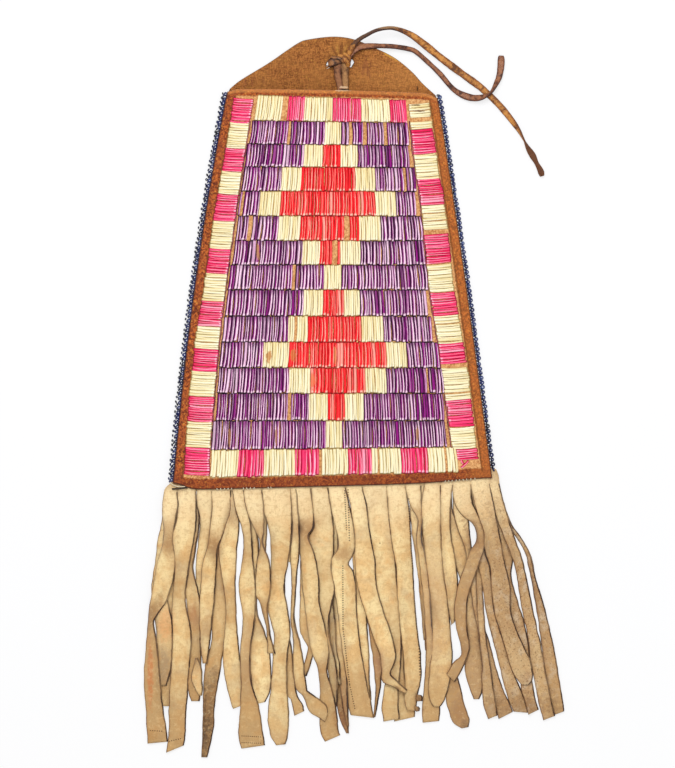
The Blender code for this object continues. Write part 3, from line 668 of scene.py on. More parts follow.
rust = (across.between(0.90, 0.96) * 0.30).tint(rust, (206, 126, 52))
rust = (from_top.between(4.4, 2.6) * from_top.between(0.2, 1.4) * 0.35).tint(rust, (140, 64, 22))
# Painted highlight along the hem's folded top edge
rust = (from_top.between(1.6, 0.2) * 0.5).tint(rust, (216, 144, 76))
ground = finish.clouds(700, 4.0, 0.6, rough=0.7).between(0.36, 0.64).tint((192, 126, 72), (238, 186, 124))
colour = in_quills.tint(rust, ground)
quilled = from_bottom.between(4.0, 5.0) * from_top.between(2.0, 3.0)
# A dark line along the side lanes' edges: partly stain, partly painted contact shadow
lane_edge_stain_and_shadow = (from_side + edge_noise * 0.5 - 5.3).maths("ABSOLUTE").between(0.8, 0.2)
colour = (lane_edge_stain_and_shadow * quilled * 0.6).tint(colour, (92, 52, 14))
# Painted highlight on the hem's lip where the strap goes in
lip_highlight = finish.spot(343.0, 91.7, 6.6, 0.7, height=0.005)
colour = (lip_highlight * 0.8).tint(colour, (240, 200, 156))
colour = (finish.cells(520).between(0.28, 0.16) * in_quills * 0.5).tint(colour, (150, 70, 36))
raw = (from_side.between(0.9, 0.3) + from_bottom.between(1.1, 0.4)).maths("MINIMUM", 1.0)
colour = (raw * 0.75).tint(colour, (58, 26, 12))
dress(front, finish.give(colour, hide_relief(finish, 1600), 0.0004), "stained_hide", "front_panel")

# Quillwork: porcupine quills, dyed, soaked and flattened, laid side by side over sinew in lanes. Each is a
# crowned strip one or two millimetres wide that turns under at both edges of its lane, where it rubs pale.
LANE_EDGES_PX = [
    97.5, 121.6, 144.7, 167.2, 191.2, 215.9, 240.6, 264.8, 289.7, 316.1, 342.0, 367.8, 393.3, 420.6, 448.6,
    475.0,
]
QUILL_HEIGHT = 0.0008
QUILL_LIFT = 0.0001
QUILL_OVERLAP = 1.04
QUILL_SHARES = (0.66, 1.34)
# How far the quills have faded in the field's cream and red steps and in the borders, and the play in it
FIELD_FADE = 0.34
BORDER_FADE = 0.45
FADE_PLAY = 0.27
QUILL_ACROSS = np.array([-1.0, -0.90, -0.55, 0.0, 0.55, 0.90, 1.0])
QUILL_CROWN = np.array([0.0, 0.50, 0.90, 1.0, 0.90, 0.50, 0.0])
QUILL_ALONG = np.array([0.0, 0.03, 0.09, 0.30, 0.60, 0.91, 0.97, 1.0])
QUILL_ARCH = np.array([0.0, 0.55, 0.92, 1.0, 1.0, 0.92, 0.55, 0.0])
QUILL_WAIST = np.array([0.86, 0.96, 1.0, 1.0, 1.0, 1.0, 0.96, 0.86])
# How much the lanes' edges rise towards the right, in pixels down the picture for each pixel across: at the
# given edges counted from the top, and evenly between them
LANE_TILTS = ([0, 1, 4, 13, 14, 15], [0.034, 0.014, 0.002, 0.0, -0.012, -0.022])
PURPLE, RED, CREAM, PINK = range(4)
# Each field lane from the top: how pale its purple has become, its quills' spacing, and where its first
# purple run starts and its cream, red, cream and last purple runs end. Places and spacings are in the
# picture's pixels.
FIELD_STEPS = [
    (0.52, 3.0, 250.4, 324.5, None, None, 341.0, 408.4),
    (0.32, 3.0, 246.0, 303.7, 322.5, 340.5, 357.3, 408.7),
    (0.60, 3.0, 242.5, 281.3, 301.0, 355.0, 375.0, 415.7),
    (0.62, 3.0, 239.2, 259.2, 280.2, 375.2, 395.8, 415.7),
    (0.60, 3.1, 236.7, 278.0, 300.0, 359.0, 380.5, 421.8),
    (0.58, 3.1, 233.5, 302.2, 319.8, 340.3, 360.2, 424.3),
    (0.68, 3.1, 229.0, 323.7, None, None, 341.3, 427.0),
    (0.60, 3.1, 226.5, 303.3, 322.8, 344.0, 359.7, 427.0),
    (0.52, 3.1, 222.7, 288.2, 307.5, 361.3, 383.2, 432.0),
    (0.56, 3.0, 220.0, 263.2, 288.5, 386.2, 406.5, 439.0),
    (0.54, 3.0, 218.0, 288.7, 310.2, 365.5, 386.2, 443.0),
    (0.40, 2.7, 216.4, 308.7, 327.7, 344.7, 363.7, 443.7),
    (0.48, 2.7, 212.0, 326.0, None, None, 342.2, 446.0),
]
TOP_ENDS = [
    (255.8, 281.8, CREAM, 2.3), (287.5, 304.3, PINK, 2.0), (304.3, 332.5, CREAM, 2.4),
    (332.5, 361.0, PINK, 2.0), (361.0, 389.7, CREAM, 2.4), (389.7, 406.3, PINK, 2.0),
]
BOTTOM_ENDS = [
    (210.8, 238.0, CREAM, 2.7), (238.0, 263.5, PINK, 3.3), (263.5, 295.0, CREAM, 2.7),
    (295.0, 319.0, PINK, 3.3), (321.8, 348.0, CREAM, 2.7), (348.0, 371.7, PINK, 3.3),
    (371.7, 377.6, CREAM, 2.7), (379.2, 401.0, CREAM, 2.7), (401.0, 427.8, PINK, 3.3),
    (427.8, 445.0, CREAM, 2.7), (447.0, 457.4, CREAM, 2.7),
]
# The side lanes' left and right edges at a few heights, and the heights at which their blocks begin and end
LEFT_LANE = [
    (98, 233.4, 254.2), (120, 230.4, 249.9), (150, 225.4, 245.4), (222, 212.6, 234.6), (250, 209.2, 230.8),
    (272, 206.0, 227.8), (288, 203.6, 225.6), (330, 196.6, 220.4), (390, 189.6, 215.0), (450, 185.3, 210.0),
    (476, 183.6, 209.8),
]
RIGHT_LANE = [
    (105, 408.6, 429.4), (150, 412.6, 435.8), (177, 416.4, 439.6), (190, 419.0, 443.2), (215, 421.8, 446.0),
    (248, 425.2, 450.2), (280, 428.0, 453.0), (305, 431.5, 457.0), (330, 436.0, 461.3), (355, 439.5, 465.3),
    (380, 442.5, 469.3), (430, 449.4, 474.6), (447, 451.6, 476.6), (450, 455.6, 477.6), (462, 457.0, 478.6),
]
LEFT_ENDS = [
    98.5, 122.8, 148.2, 171.5, 194.2, 221.0, 248.8, 273.5, 301.0, 326.5, 348.8, 371.3, 396.4, 421.6, 447.6,
    475.2,
]
RIGHT_ENDS = [
    (103.5, 109.8, CREAM), (110.8, 117.2, CREAM), (121.4, 128.8, CREAM), (129, 153.5, PINK),
    (154, 179, CREAM), (179, 204.8, PINK), (205, 212.6, CREAM), (213.4, 220.2, CREAM), (221, 229.5, CREAM),
    (234, 263, PINK), (264.4, 291.4, CREAM), (292, 315, PINK), (315.4, 323, CREAM), (324, 343, CREAM),
    (343, 363.4, PINK), (367.5, 392, CREAM), (393.5, 400, CREAM), (400, 426.5, PINK), (427, 448.4, CREAM),
    (448.8, 459.6, PINK),
]
CREAM_PITCH = 2.3
RED_PITCH = 3.0
SIDE_PITCH = 2.4
SIDE_SLOPES = {-1: 0.045, 1: -0.08}
# Bare or torn places where the hide shows through: lane, place and half width
BARE = [
    (1, 351.3, 2.0), (1, 363.5, 1.2), (1, 385.8, 2.0), (1, 288.8, 1.0), (3, 405.2, 1.2), (4, 243.2, 1.2),
    (5, 250.3, 1.0), (5, 346.2, 2.7), (6, 335.2, 3.2), (7, 294.0, 1.6), (9, 295.7, 1.6), (11, 427.5, 1.7),
    (12, 288.9, 1.8),
]
# Two quills that have come loose at the lower right corner: both ends
LOOSE = [((460.6, 466.8), (467.6, 459.8)), ((461.4, 459.6), (464.6, 462.8))]
LOOSE_WIDTH = 1.6

draw = np.random.default_rng(11)
beds = {PURPLE: [], RED: [], CREAM: [], PINK: []}


def front_at(px, py):
    """The u and v of the point on the quilled face that the camera sees at a pixel. Each round takes the
    height and the sides at the last guess, and five rounds settle it."""
    px, py = np.broadcast_arrays(np.asarray(px, dtype=float), np.asarray(py, dtype=float))
    u = 0.5 + 0 * px
    v = 0.5 + 0 * px
    for _ in range(5):
        x, y = at_pixel(px, py, front_top(u, v) + QUILL_HEIGHT)
        v = v + (y - pouch_place(u, v)[1]) / BODY_LENGTH
        u = (x - side_x(-1, v)) / (side_x(1, v) - side_x(-1, v))
    return u, v


def lay_quills(dye, first, last, across, pitch, pale=0.5, worn_high=False, bare=()):
    """Quills side by side between two places along a lane, each with its own share of the length and a
    little play in lean, bow, height and ends. across(s, c) gives u and v for a place s along the lane and c
    across it, and worn_high says that the ends at c = 1 are the rubbed ones."""
    count = max(1, round((last - first) / pitch))
    shares = draw.uniform(*QUILL_SHARES, count)
    stops = first + (last - first) * np.concatenate([[0], np.cumsum(shares)]) / shares.sum()
    middle = (stops[1:] + stops[:-1]) / 2
    half = np.diff(stops) / 2 * QUILL_OVERLAP
    lean = draw.normal(0.03, 0.08, count) * pitch
    bow = draw.normal(0.10, 0.10, count) * pitch
    hook = draw.uniform(0, 0.30, count) * pitch
    tall = QUILL_HEIGHT * draw.uniform(0.80, 1.12, count)
    low = draw.normal(-0.010, 0.014, count)
    high = draw.normal(1.010, 0.012, count)
    fade = np.clip(draw.normal(pale, FADE_PLAY, count), 0, 1)
    seed = draw.uniform(0, 1, count)
    keep = np.ones(count, dtype=bool)
    for x, half_width in bare:
        keep &= np.abs(middle - x) > half_width
    a = QUILL_ACROSS[None, None, :]
    c = QUILL_ALONG[None, :, None]
    middle, half, lean, bow, hook, tall, low, high, fade, seed = (
        part[keep][:, None, None] for part in (middle, half, lean, bow, hook, tall, low, high, fade, seed))
    bend = lean * (2 * c - 1) + bow * np.sin(np.pi * c) - hook * np.clip(1 - c / 0.2, 0, 1) ** 2
    u, v = across(middle + half * QUILL_WAIST[None, :, None] * a + bend, low + (high - low) * c)
    points = front_point(u, v, QUILL_LIFT + tall * QUILL_CROWN[None, None, :] * QUILL_ARCH[None, :, None])
    from_worn = 1 - c if worn_high else c
    uv = np.stack(np.broadcast_arrays((a + 1) / 2, from_worn + 0 * middle), -1)
    fade, seed = (np.broadcast_to(part, points.shape[:3]) for part in (fade, seed))
    beds[dye].append((points, uv, fade, seed))


def field_lane(index):
    """Places on the lane with this number from the top: s is the pixel where a quill crosses the lane's
    middle, c runs from the lower edge to the upper one, and the quills lean as the pouch's sides do."""
    top, bottom = LANE_EDGES_PX[index], LANE_EDGES_PX[index + 1]
    tilt_top, tilt_bottom = np.interp([index, index + 1], *LANE_TILTS)

    def across(s, c):
        out = s - POUCH_MIDDLE_PX[0]
        py = (bottom + tilt_bottom * out) * (1 - c) + (top + tilt_top * out) * c
        return front_at(s, (top + bottom) / 2)[0] + 0 * c, front_at(s, py)[1]
    return across


def side_lane(side):
    """Places on a side lane: s is the pixel height where a quill crosses the lane's middle, and c runs from
    the lane's left edge to its right one along the quill's own slope."""
    height, left, right = np.array(LEFT_LANE if side < 0 else RIGHT_LANE).T

    def across(s, c):
        wide = np.interp(s, height, right) - np.interp(s, height, left)
        py = s + SIDE_SLOPES[side] * (c - 0.5) * wide
        px = np.interp(py, height, left) * (1 - c) + np.interp(py, height, right) * c
        return front_at(px, py)
    return across


for index, (pale, pitch, first, *steps, last) in enumerate(FIELD_STEPS, start=1):
    stops = [stop for stop in (first, *steps, last) if stop is not None]
    purple, cream, red = (PURPLE, pitch), (CREAM, CREAM_PITCH), (RED, RED_PITCH)
    runs = [purple, cream, red, cream, purple]
    runs = runs if steps[1] is not None else [purple, cream, purple]
    bare = [(x, half_width) for lane, x, half_width in BARE if lane == index]
    for (dye, spacing), start, stop in zip(runs, stops, stops[1:]):
        lay_quills(dye, start, stop, field_lane(index), spacing,
                   pale if dye == PURPLE else FIELD_FADE, bare=bare)
for index, ends in ((0, TOP_ENDS), (14, BOTTOM_ENDS)):
    for start, stop, dye, spacing in ends:
        lay_quills(dye, start, stop, field_lane(index), spacing, BORDER_FADE)
for number, (top, bottom) in enumerate(zip(LEFT_ENDS, LEFT_ENDS[1:])):
    lay_quills(CREAM if number % 2 else PINK, top, bottom, side_lane(-1), SIDE_PITCH, worn_high=True)
for top, bottom, dye in RIGHT_ENDS:
    lay_quills(dye, top, bottom, side_lane(1), SIDE_PITCH)
for start, stop in np.array(LOOSE):
    along = stop - start
    aside = np.array([-along[1], along[0]]) / abs(along[0])
    lay_quills(PINK, 0, LOOSE_WIDTH, lambda s, c: front_at(
        start[0] + along[0] * c + aside[0] * s, start[1] + along[1] * c + aside[1] * s), LOOSE_WIDTH)


def quill_finish(name, deep, middle, faded_and_highlight, dark, streak, shaded_flank, wash, torn=()):
    """A dyed quill: deeper towards its upper end, painted shade down the flank on one side, a pale streak on
    the other, partly faded dye and partly painted highlight, that is wider the more the quill has faded, a
    fainter one between, a rubbed lower end beside the streak, and painted shade at its tucked ends and along
    its edges. Torn places are ovals in the picture's pixels where what lies below shows in a colour of its
    own."""
    finish = Finish(name, roughness=0.5, coat=0.05)
    finish.shader.inputs["Specular IOR Level"].default_value = 0.18
    across, along = finish.pattern()
    fade, seed = finish.fact("fade"), finish.fact("seed")
    other = (seed * 7.31).maths("FRACT")
    third = (seed * 23.7).maths("FRACT")
    fibre_place = finish.node("ShaderNodeCombineXYZ", inputs={
        0: across * 4.0, 1: along * 3.0, 2: seed * 60.0})
    fibres = finish.clouds(1.0, 3.0, 0.3, place=fibre_place)
    wander = (fibres - 0.5) * 0.26
    body = (seed * 0.7 + along * 0.3 + (fibres - 0.5) * 1.4).between(0.25, 0.85).tint(middle, deep)
    body = (other.between(0.92, 0.95) * 0.5 * wash).tint(body, faded_and_highlight)
    faint = (across + wander - 0.36 - third * 0.2).maths("ABSOLUTE")
    body = (faint.between(0.10, 0.03) * third.between(0.35, 0.6) * 0.5 * wash).tint(body, faded_and_highlight)
    # Painted shade down one flank
    colour = ((across + wander).between(shaded_flank, shaded_flank * 0.45) * 0.95).tint(body, dark)
    # The pale streak: partly faded dye, partly painted highlight
    off_streak = across + wander - 0.80 + other * 0.20
    inside = (fade * streak + 0.04 - off_streak.maths("ABSOLUTE")).between(0.0, 0.035)
    lower = 1 - along.between(0.70, 0.94) * 0.75
    colour = (inside * fade.between(0.08, 0.36) * lower * wash).tint(colour, faded_and_highlight)
    near_streak = off_streak.maths("ABSOLUTE").between(0.38, 0.20)
    worn = (along + wander * 0.3).between(0.14, 0.08) * other.between(0.30, 0.42) * near_streak
    colour = (worn * wash).tint(colour, faded_and_highlight)
    # Painted shade at the quills' tucked ends and in the valleys along their edges
    tucked_end_shade = (along - 0.5).maths("ABSOLUTE").between(0.448, 0.474)
    sides = (across - 0.5).maths("ABSOLUTE").between(0.45, 0.50)
    colour = (tucked_end_shade.maths("MAXIMUM", sides * 0.6) * 0.95).tint(colour, dark)
    for px, py, wide, tall, shows in torn:
        colour = (finish.spot(px, py, wide, tall, height=PUFF_TOP) * 0.9).tint(colour, shows)
    return finish.give(colour, fibres, 0.00012)


# Worn and torn places: place, half width and half height in the picture's pixels, and the colour below
TORN_PURPLE = [
    (257.8, 252.0, 1.3, 9.0, (186, 128, 84)), (229.4, 436.0, 1.2, 9.0, (170, 120, 84)),
    (276.0, 436.0, 1.0, 9.0, (180, 130, 96)), (417.6, 434.0, 1.4, 8.0, (186, 134, 92)),
]
TORN_RED = [
    (293.2, 355.5, 2.6, 6.0, (214, 120, 66)), (312.6, 381.0, 2.4, 9.0, (236, 118, 78)),
    (335.0, 355.0, 1.2, 9.0, (226, 140, 88)),
]
TORN_CREAM = [
    (268.6, 356.6, 3.0, 5.6, (206, 146, 82)), (418.6, 110.4, 5.6, 0.9, (96, 62, 34)),
    (416.0, 104.4, 5.0, 0.7, (120, 84, 50)), (421.6, 120.2, 3.6, 1.1, (206, 146, 82)),
    (408.0, 111.0, 1.2, 1.6, (150, 110, 60)),
]
# The height of the quilled face, on which they lie
PUFF_TOP = 0.012
# For each dye: the piece, its slot and the plain solids that its quills replace, then the deep and middle
# colours, the pale colour of faded dye and painted highlight, the dark colour of painted shade, how wide
# the streak and the shaded flank are for a quill's width of 1, and how strong the streaks are
QUILLS = {
    PURPLE: ("quills_purple", "purple_quill", [f"quill_lane_{number:02d}" for number in range(1, 14)],
             (86, 2, 78), (146, 10, 126), (255, 216, 238), (20, 2, 12), 0.17, 0.38, 1.0, TORN_PURPLE),
    RED: ("quills_red", "red_quill", [],
          (222, 8, 22), (252, 34, 42), (255, 204, 184), (150, 6, 14), 0.08, 0.16, 0.85, TORN_RED),
    CREAM: ("quills_cream", "cream_quill", ["quill_border_bottom", "quill_border_right"],
            (236, 216, 156), (250, 238, 194), (255, 250, 226), (168, 142, 84), 0.14, 0.14, 0.8, TORN_CREAM),
    PINK: ("quills_pink", "pink_quill", ["quill_border_top", "quill_border_left"],
           (228, 20, 82), (252, 62, 118), (255, 196, 216), (150, 8, 46), 0.11, 0.20, 0.85),
}
ring = len(QUILL_ACROSS)
stations = len(QUILL_ALONG)
one_quill = [list(face)[::-1] for face in tube_faces(stations, ring)]
for dye, runs in beds.items():
    points, uv, fade, seed = (
        np.concatenate([run[part].reshape(-1, size) for run in runs])
        for part, size in enumerate((3, 2, 1, 1)))
    bases = range(0, len(points), ring * stations)
    faces = [[corner + base for corner in face] for base in bases for face in one_quill]
    name, slot, nodes, *colours = QUILLS[dye]
    piece = new_piece(name, points, faces, uv, {"fade": fade, "seed": seed})
    dress(piece, quill_finish(name + "_dye", *colours), slot, *nodes)

# The field's edging: one dyed sinew down each side of the thirteen lanes, couched against the side lane with
# stitches that let it sway a little.
EDGING_ENDS = (121.0, 448.0)
EDGING_RINGS = 260
EDGING_SIDES = 8
EDGING_WIDTH = 0.0006
EDGING_THICKNESS = 0.0005
EDGING_LIFT = 0.0003
# How far it lies outside the field and how far it sways, in pixels, and how many radians its waves come to
EDGING_OUT_PX = 0.5
EDGING_SWAY_PX = 0.3
EDGING_WAVE = 90
for side, name in ((-1, "field_edging_left"), (1, "field_edging_right")):
    py = np.linspace(*EDGING_ENDS, EDGING_RINGS)
    height, left, right = np.array(LEFT_LANE if side < 0 else RIGHT_LANE).T
    sway = EDGING_OUT_PX + EDGING_SWAY_PX * np.sin(np.linspace(0, EDGING_WAVE, EDGING_RINGS))
    px = np.interp(py, height, right if side < 0 else left) - side * sway
    line = front_point(*front_at(px, py), EDGING_LIFT)
    even = np.ones(EDGING_RINGS)
    points, _ = strip_along(line, EDGING_WIDTH * even, EDGING_THICKNESS * even, 0 * even, EDGING_SIDES)
    piece = new_piece(name, points, tube_faces(EDGING_RINGS, EDGING_SIDES))
    finish = Finish(name + "_dye", roughness=0.6)
    colour = finish.clouds(300, 3.0).between(0.35, 0.65).tint((64, 14, 36), (150, 66, 84))
    dress(piece, finish.give(colour, finish.clouds(1200, 2.0), 0.0002), "purple_quill")

# Beaded edging: small glass beads sewn over the raw side seams with sinew, a stitch every three millimetres.
# Some lie flat, with a pale spot in their holes, partly sinew and partly painted highlight, and some stand
# on edge between the others.
BEAD_SIDES = 10
BEAD_RING = 8
# For each side, rows of beads: how far out of the hide's edge, radius, how far down from the stitch, spacing,
# tilt from lying flat and play in it, and how light the glass is, with millimetres as the unit of length
BEAD_ROWS = {
    -1: [(0.85, 1.28, 0.0, 2.9, 0.15, 0.20, 0.42), (0.35, 1.05, 1.45, 2.9, 1.35, 0.15, 0.22),
         (1.90, 0.95, 0.80, 2.9, 1.30, 0.15, 0.20), (2.75, 0.88, -0.55, 2.9, 1.15, 0.30, 0.06)],
    1: [(0.15, 0.80, 0.0, 1.90, 0.50, 0.45, 0.04), (1.55, 1.34, 0.9, 2.9, 0.50, 0.35, 0.52),
        (1.20, 1.00, -0.5, 2.9, 1.25, 0.20, 0.18)],
}
BEAD_ENDS = {-1: (91.0, 483.0), 1: (93.5, 474.0)}
# The right side's glass is darker towards the bottom: by how much, from which pixel and over how many
DIM = 0.35
DIM_FROM_PX = 380
DIM_OVER_PX = 80


def bead_grid():
    """A bead as a ring round its own hole: a circle turned about the axis, fatter than a plain ring.
    Returns the points and how far each lies inside the hole, from 0 to 1."""
    a = np.linspace(0, 2 * np.pi, BEAD_SIDES, endpoint=False)[:, None]
    b = np.linspace(0, 2 * np.pi, BEAD_RING, endpoint=False)[None, :]
    radius = 0.58 + 0.42 * np.cos(b)
    points = np.stack([radius * np.cos(a), radius * np.sin(a), 0.50 * np.sin(b) + 0 * a], -1).reshape(-1, 3)
    return points, ((1 - np.cos(b)) / 2 + 0 * a).reshape(-1)


def turned(points, tilt, spin):
    """Each bead's points turned by its own tilt about Y and spin about Z."""
    x, y, z = points[None, :, 0], points[None, :, 1], points[None, :, 2]
    ct, st, cs, ss = (part[:, None] for part in (np.cos(tilt), np.sin(tilt), np.cos(spin), np.sin(spin)))
    x, z = x * ct + z * st, z * ct - x * st
    return np.stack([x * cs - y * ss, x * ss + y * cs, z], -1)


def bead_row(side, row, seed):
    """The beads of one row along a side seam: their points, and each point's shade and depth in the hole."""
    rng = np.random.default_rng(seed)
    out, size, drop, spacing, tilt, play, light = row
    top, bottom = BEAD_ENDS[side]
    count = int((bottom - top) * PIXEL * 1000 / spacing)
    py = top + ((np.arange(count) + 0.5 + rng.normal(0, 0.06, count)) * spacing + drop) / 1000 / PIXEL
    height, left, right = np.array(LEFT_LANE if side < 0 else RIGHT_LANE).T
    v = front_at(np.interp(py, height, left if side < 0 else right) + side * 8, py)[1]
    x, y = pouch_place(np.full(count, 0.0 if side < 0 else 1.0), v)
    radius = size / 1000 * rng.uniform(0.90, 1.10, count)
    tilt = np.clip(rng.normal(tilt, play, count), 0, 1.5) * side
    need = radius * (np.abs(np.sin(tilt)) + 0.46 * np.cos(tilt)) + 0.0001
    height = np.maximum(need, front_top(np.full(count, 0.0), v) * rng.uniform(0.40, 0.70, count))
    centre = np.stack([x + side * (out + rng.normal(0, 0.13, count)) / 1000, y, height], -1)
    spin = rng.normal(0, 0.35, count)
    grid, inside = bead_grid()
    points = centre[:, None, :] + turned(grid, tilt, spin) * radius[:, None, None]
    light = light - DIM * (side > 0) * np.clip((py - DIM_FROM_PX) / DIM_OVER_PX, 0, 1)
    shade = np.clip(rng.normal(light, 0.16, count), 0, 1)[:, None] + 0 * inside[None]
    return points, shade, inside[None] + 0 * shade


def glass_finish():
    """Opaque glass, black to deep blue to slate by the bead, with a pale spot in the hole, partly sinew and
    partly painted highlight.
    """
    finish = Finish("blue_bead_glass", roughness=0.25, coat=0.1)
    shade, inside = finish.fact("shade"), finish.fact("inside")
    colour = shade.between(0.0, 0.45).tint((4, 4, 14), (8, 22, 84))
    colour = shade.between(0.45, 1.0).tint(colour, (66, 84, 132))
    colour = (finish.clouds(1400, 2.0).between(0.55, 0.75) * 0.30).tint(colour, (70, 96, 168))
    # The hole painted pale: partly sinew, partly painted highlight
    colour = inside.between(0.84, 0.94).tint(colour, (236, 240, 255))
    return finish.give(colour)


glass = glass_finish()
for name, side in (("bead_edging_left", -1), ("bead_edging_right", 1)):
    made = [bead_row(side, row, seed=21 + number + 4 * (side > 0))
            for number, row in enumerate(BEAD_ROWS[side])]
    points, shade, inside = (np.concatenate([part[i] for part in made]) for i in range(3))
    one_bead = ring_faces(BEAD_SIDES, BEAD_RING)[:, [0, 3, 2, 1]]
    bases = np.arange(len(points)) * BEAD_SIDES * BEAD_RING
    faces = (one_bead[None] + bases[:, None, None]).reshape(-1, 4)
    piece = new_piece(name + "_beads", points, faces, facts={"shade": shade, "inside": inside})
    dress(piece, glass, "blue_beads", name)

# The fringe: two plies of pale hide let into the bottom seam and cut with a knife into strips that wander,
# overlap and twist. Each strip lies on the ones laid before it, as far as hide can bend.
FRINGE_SEED = 300
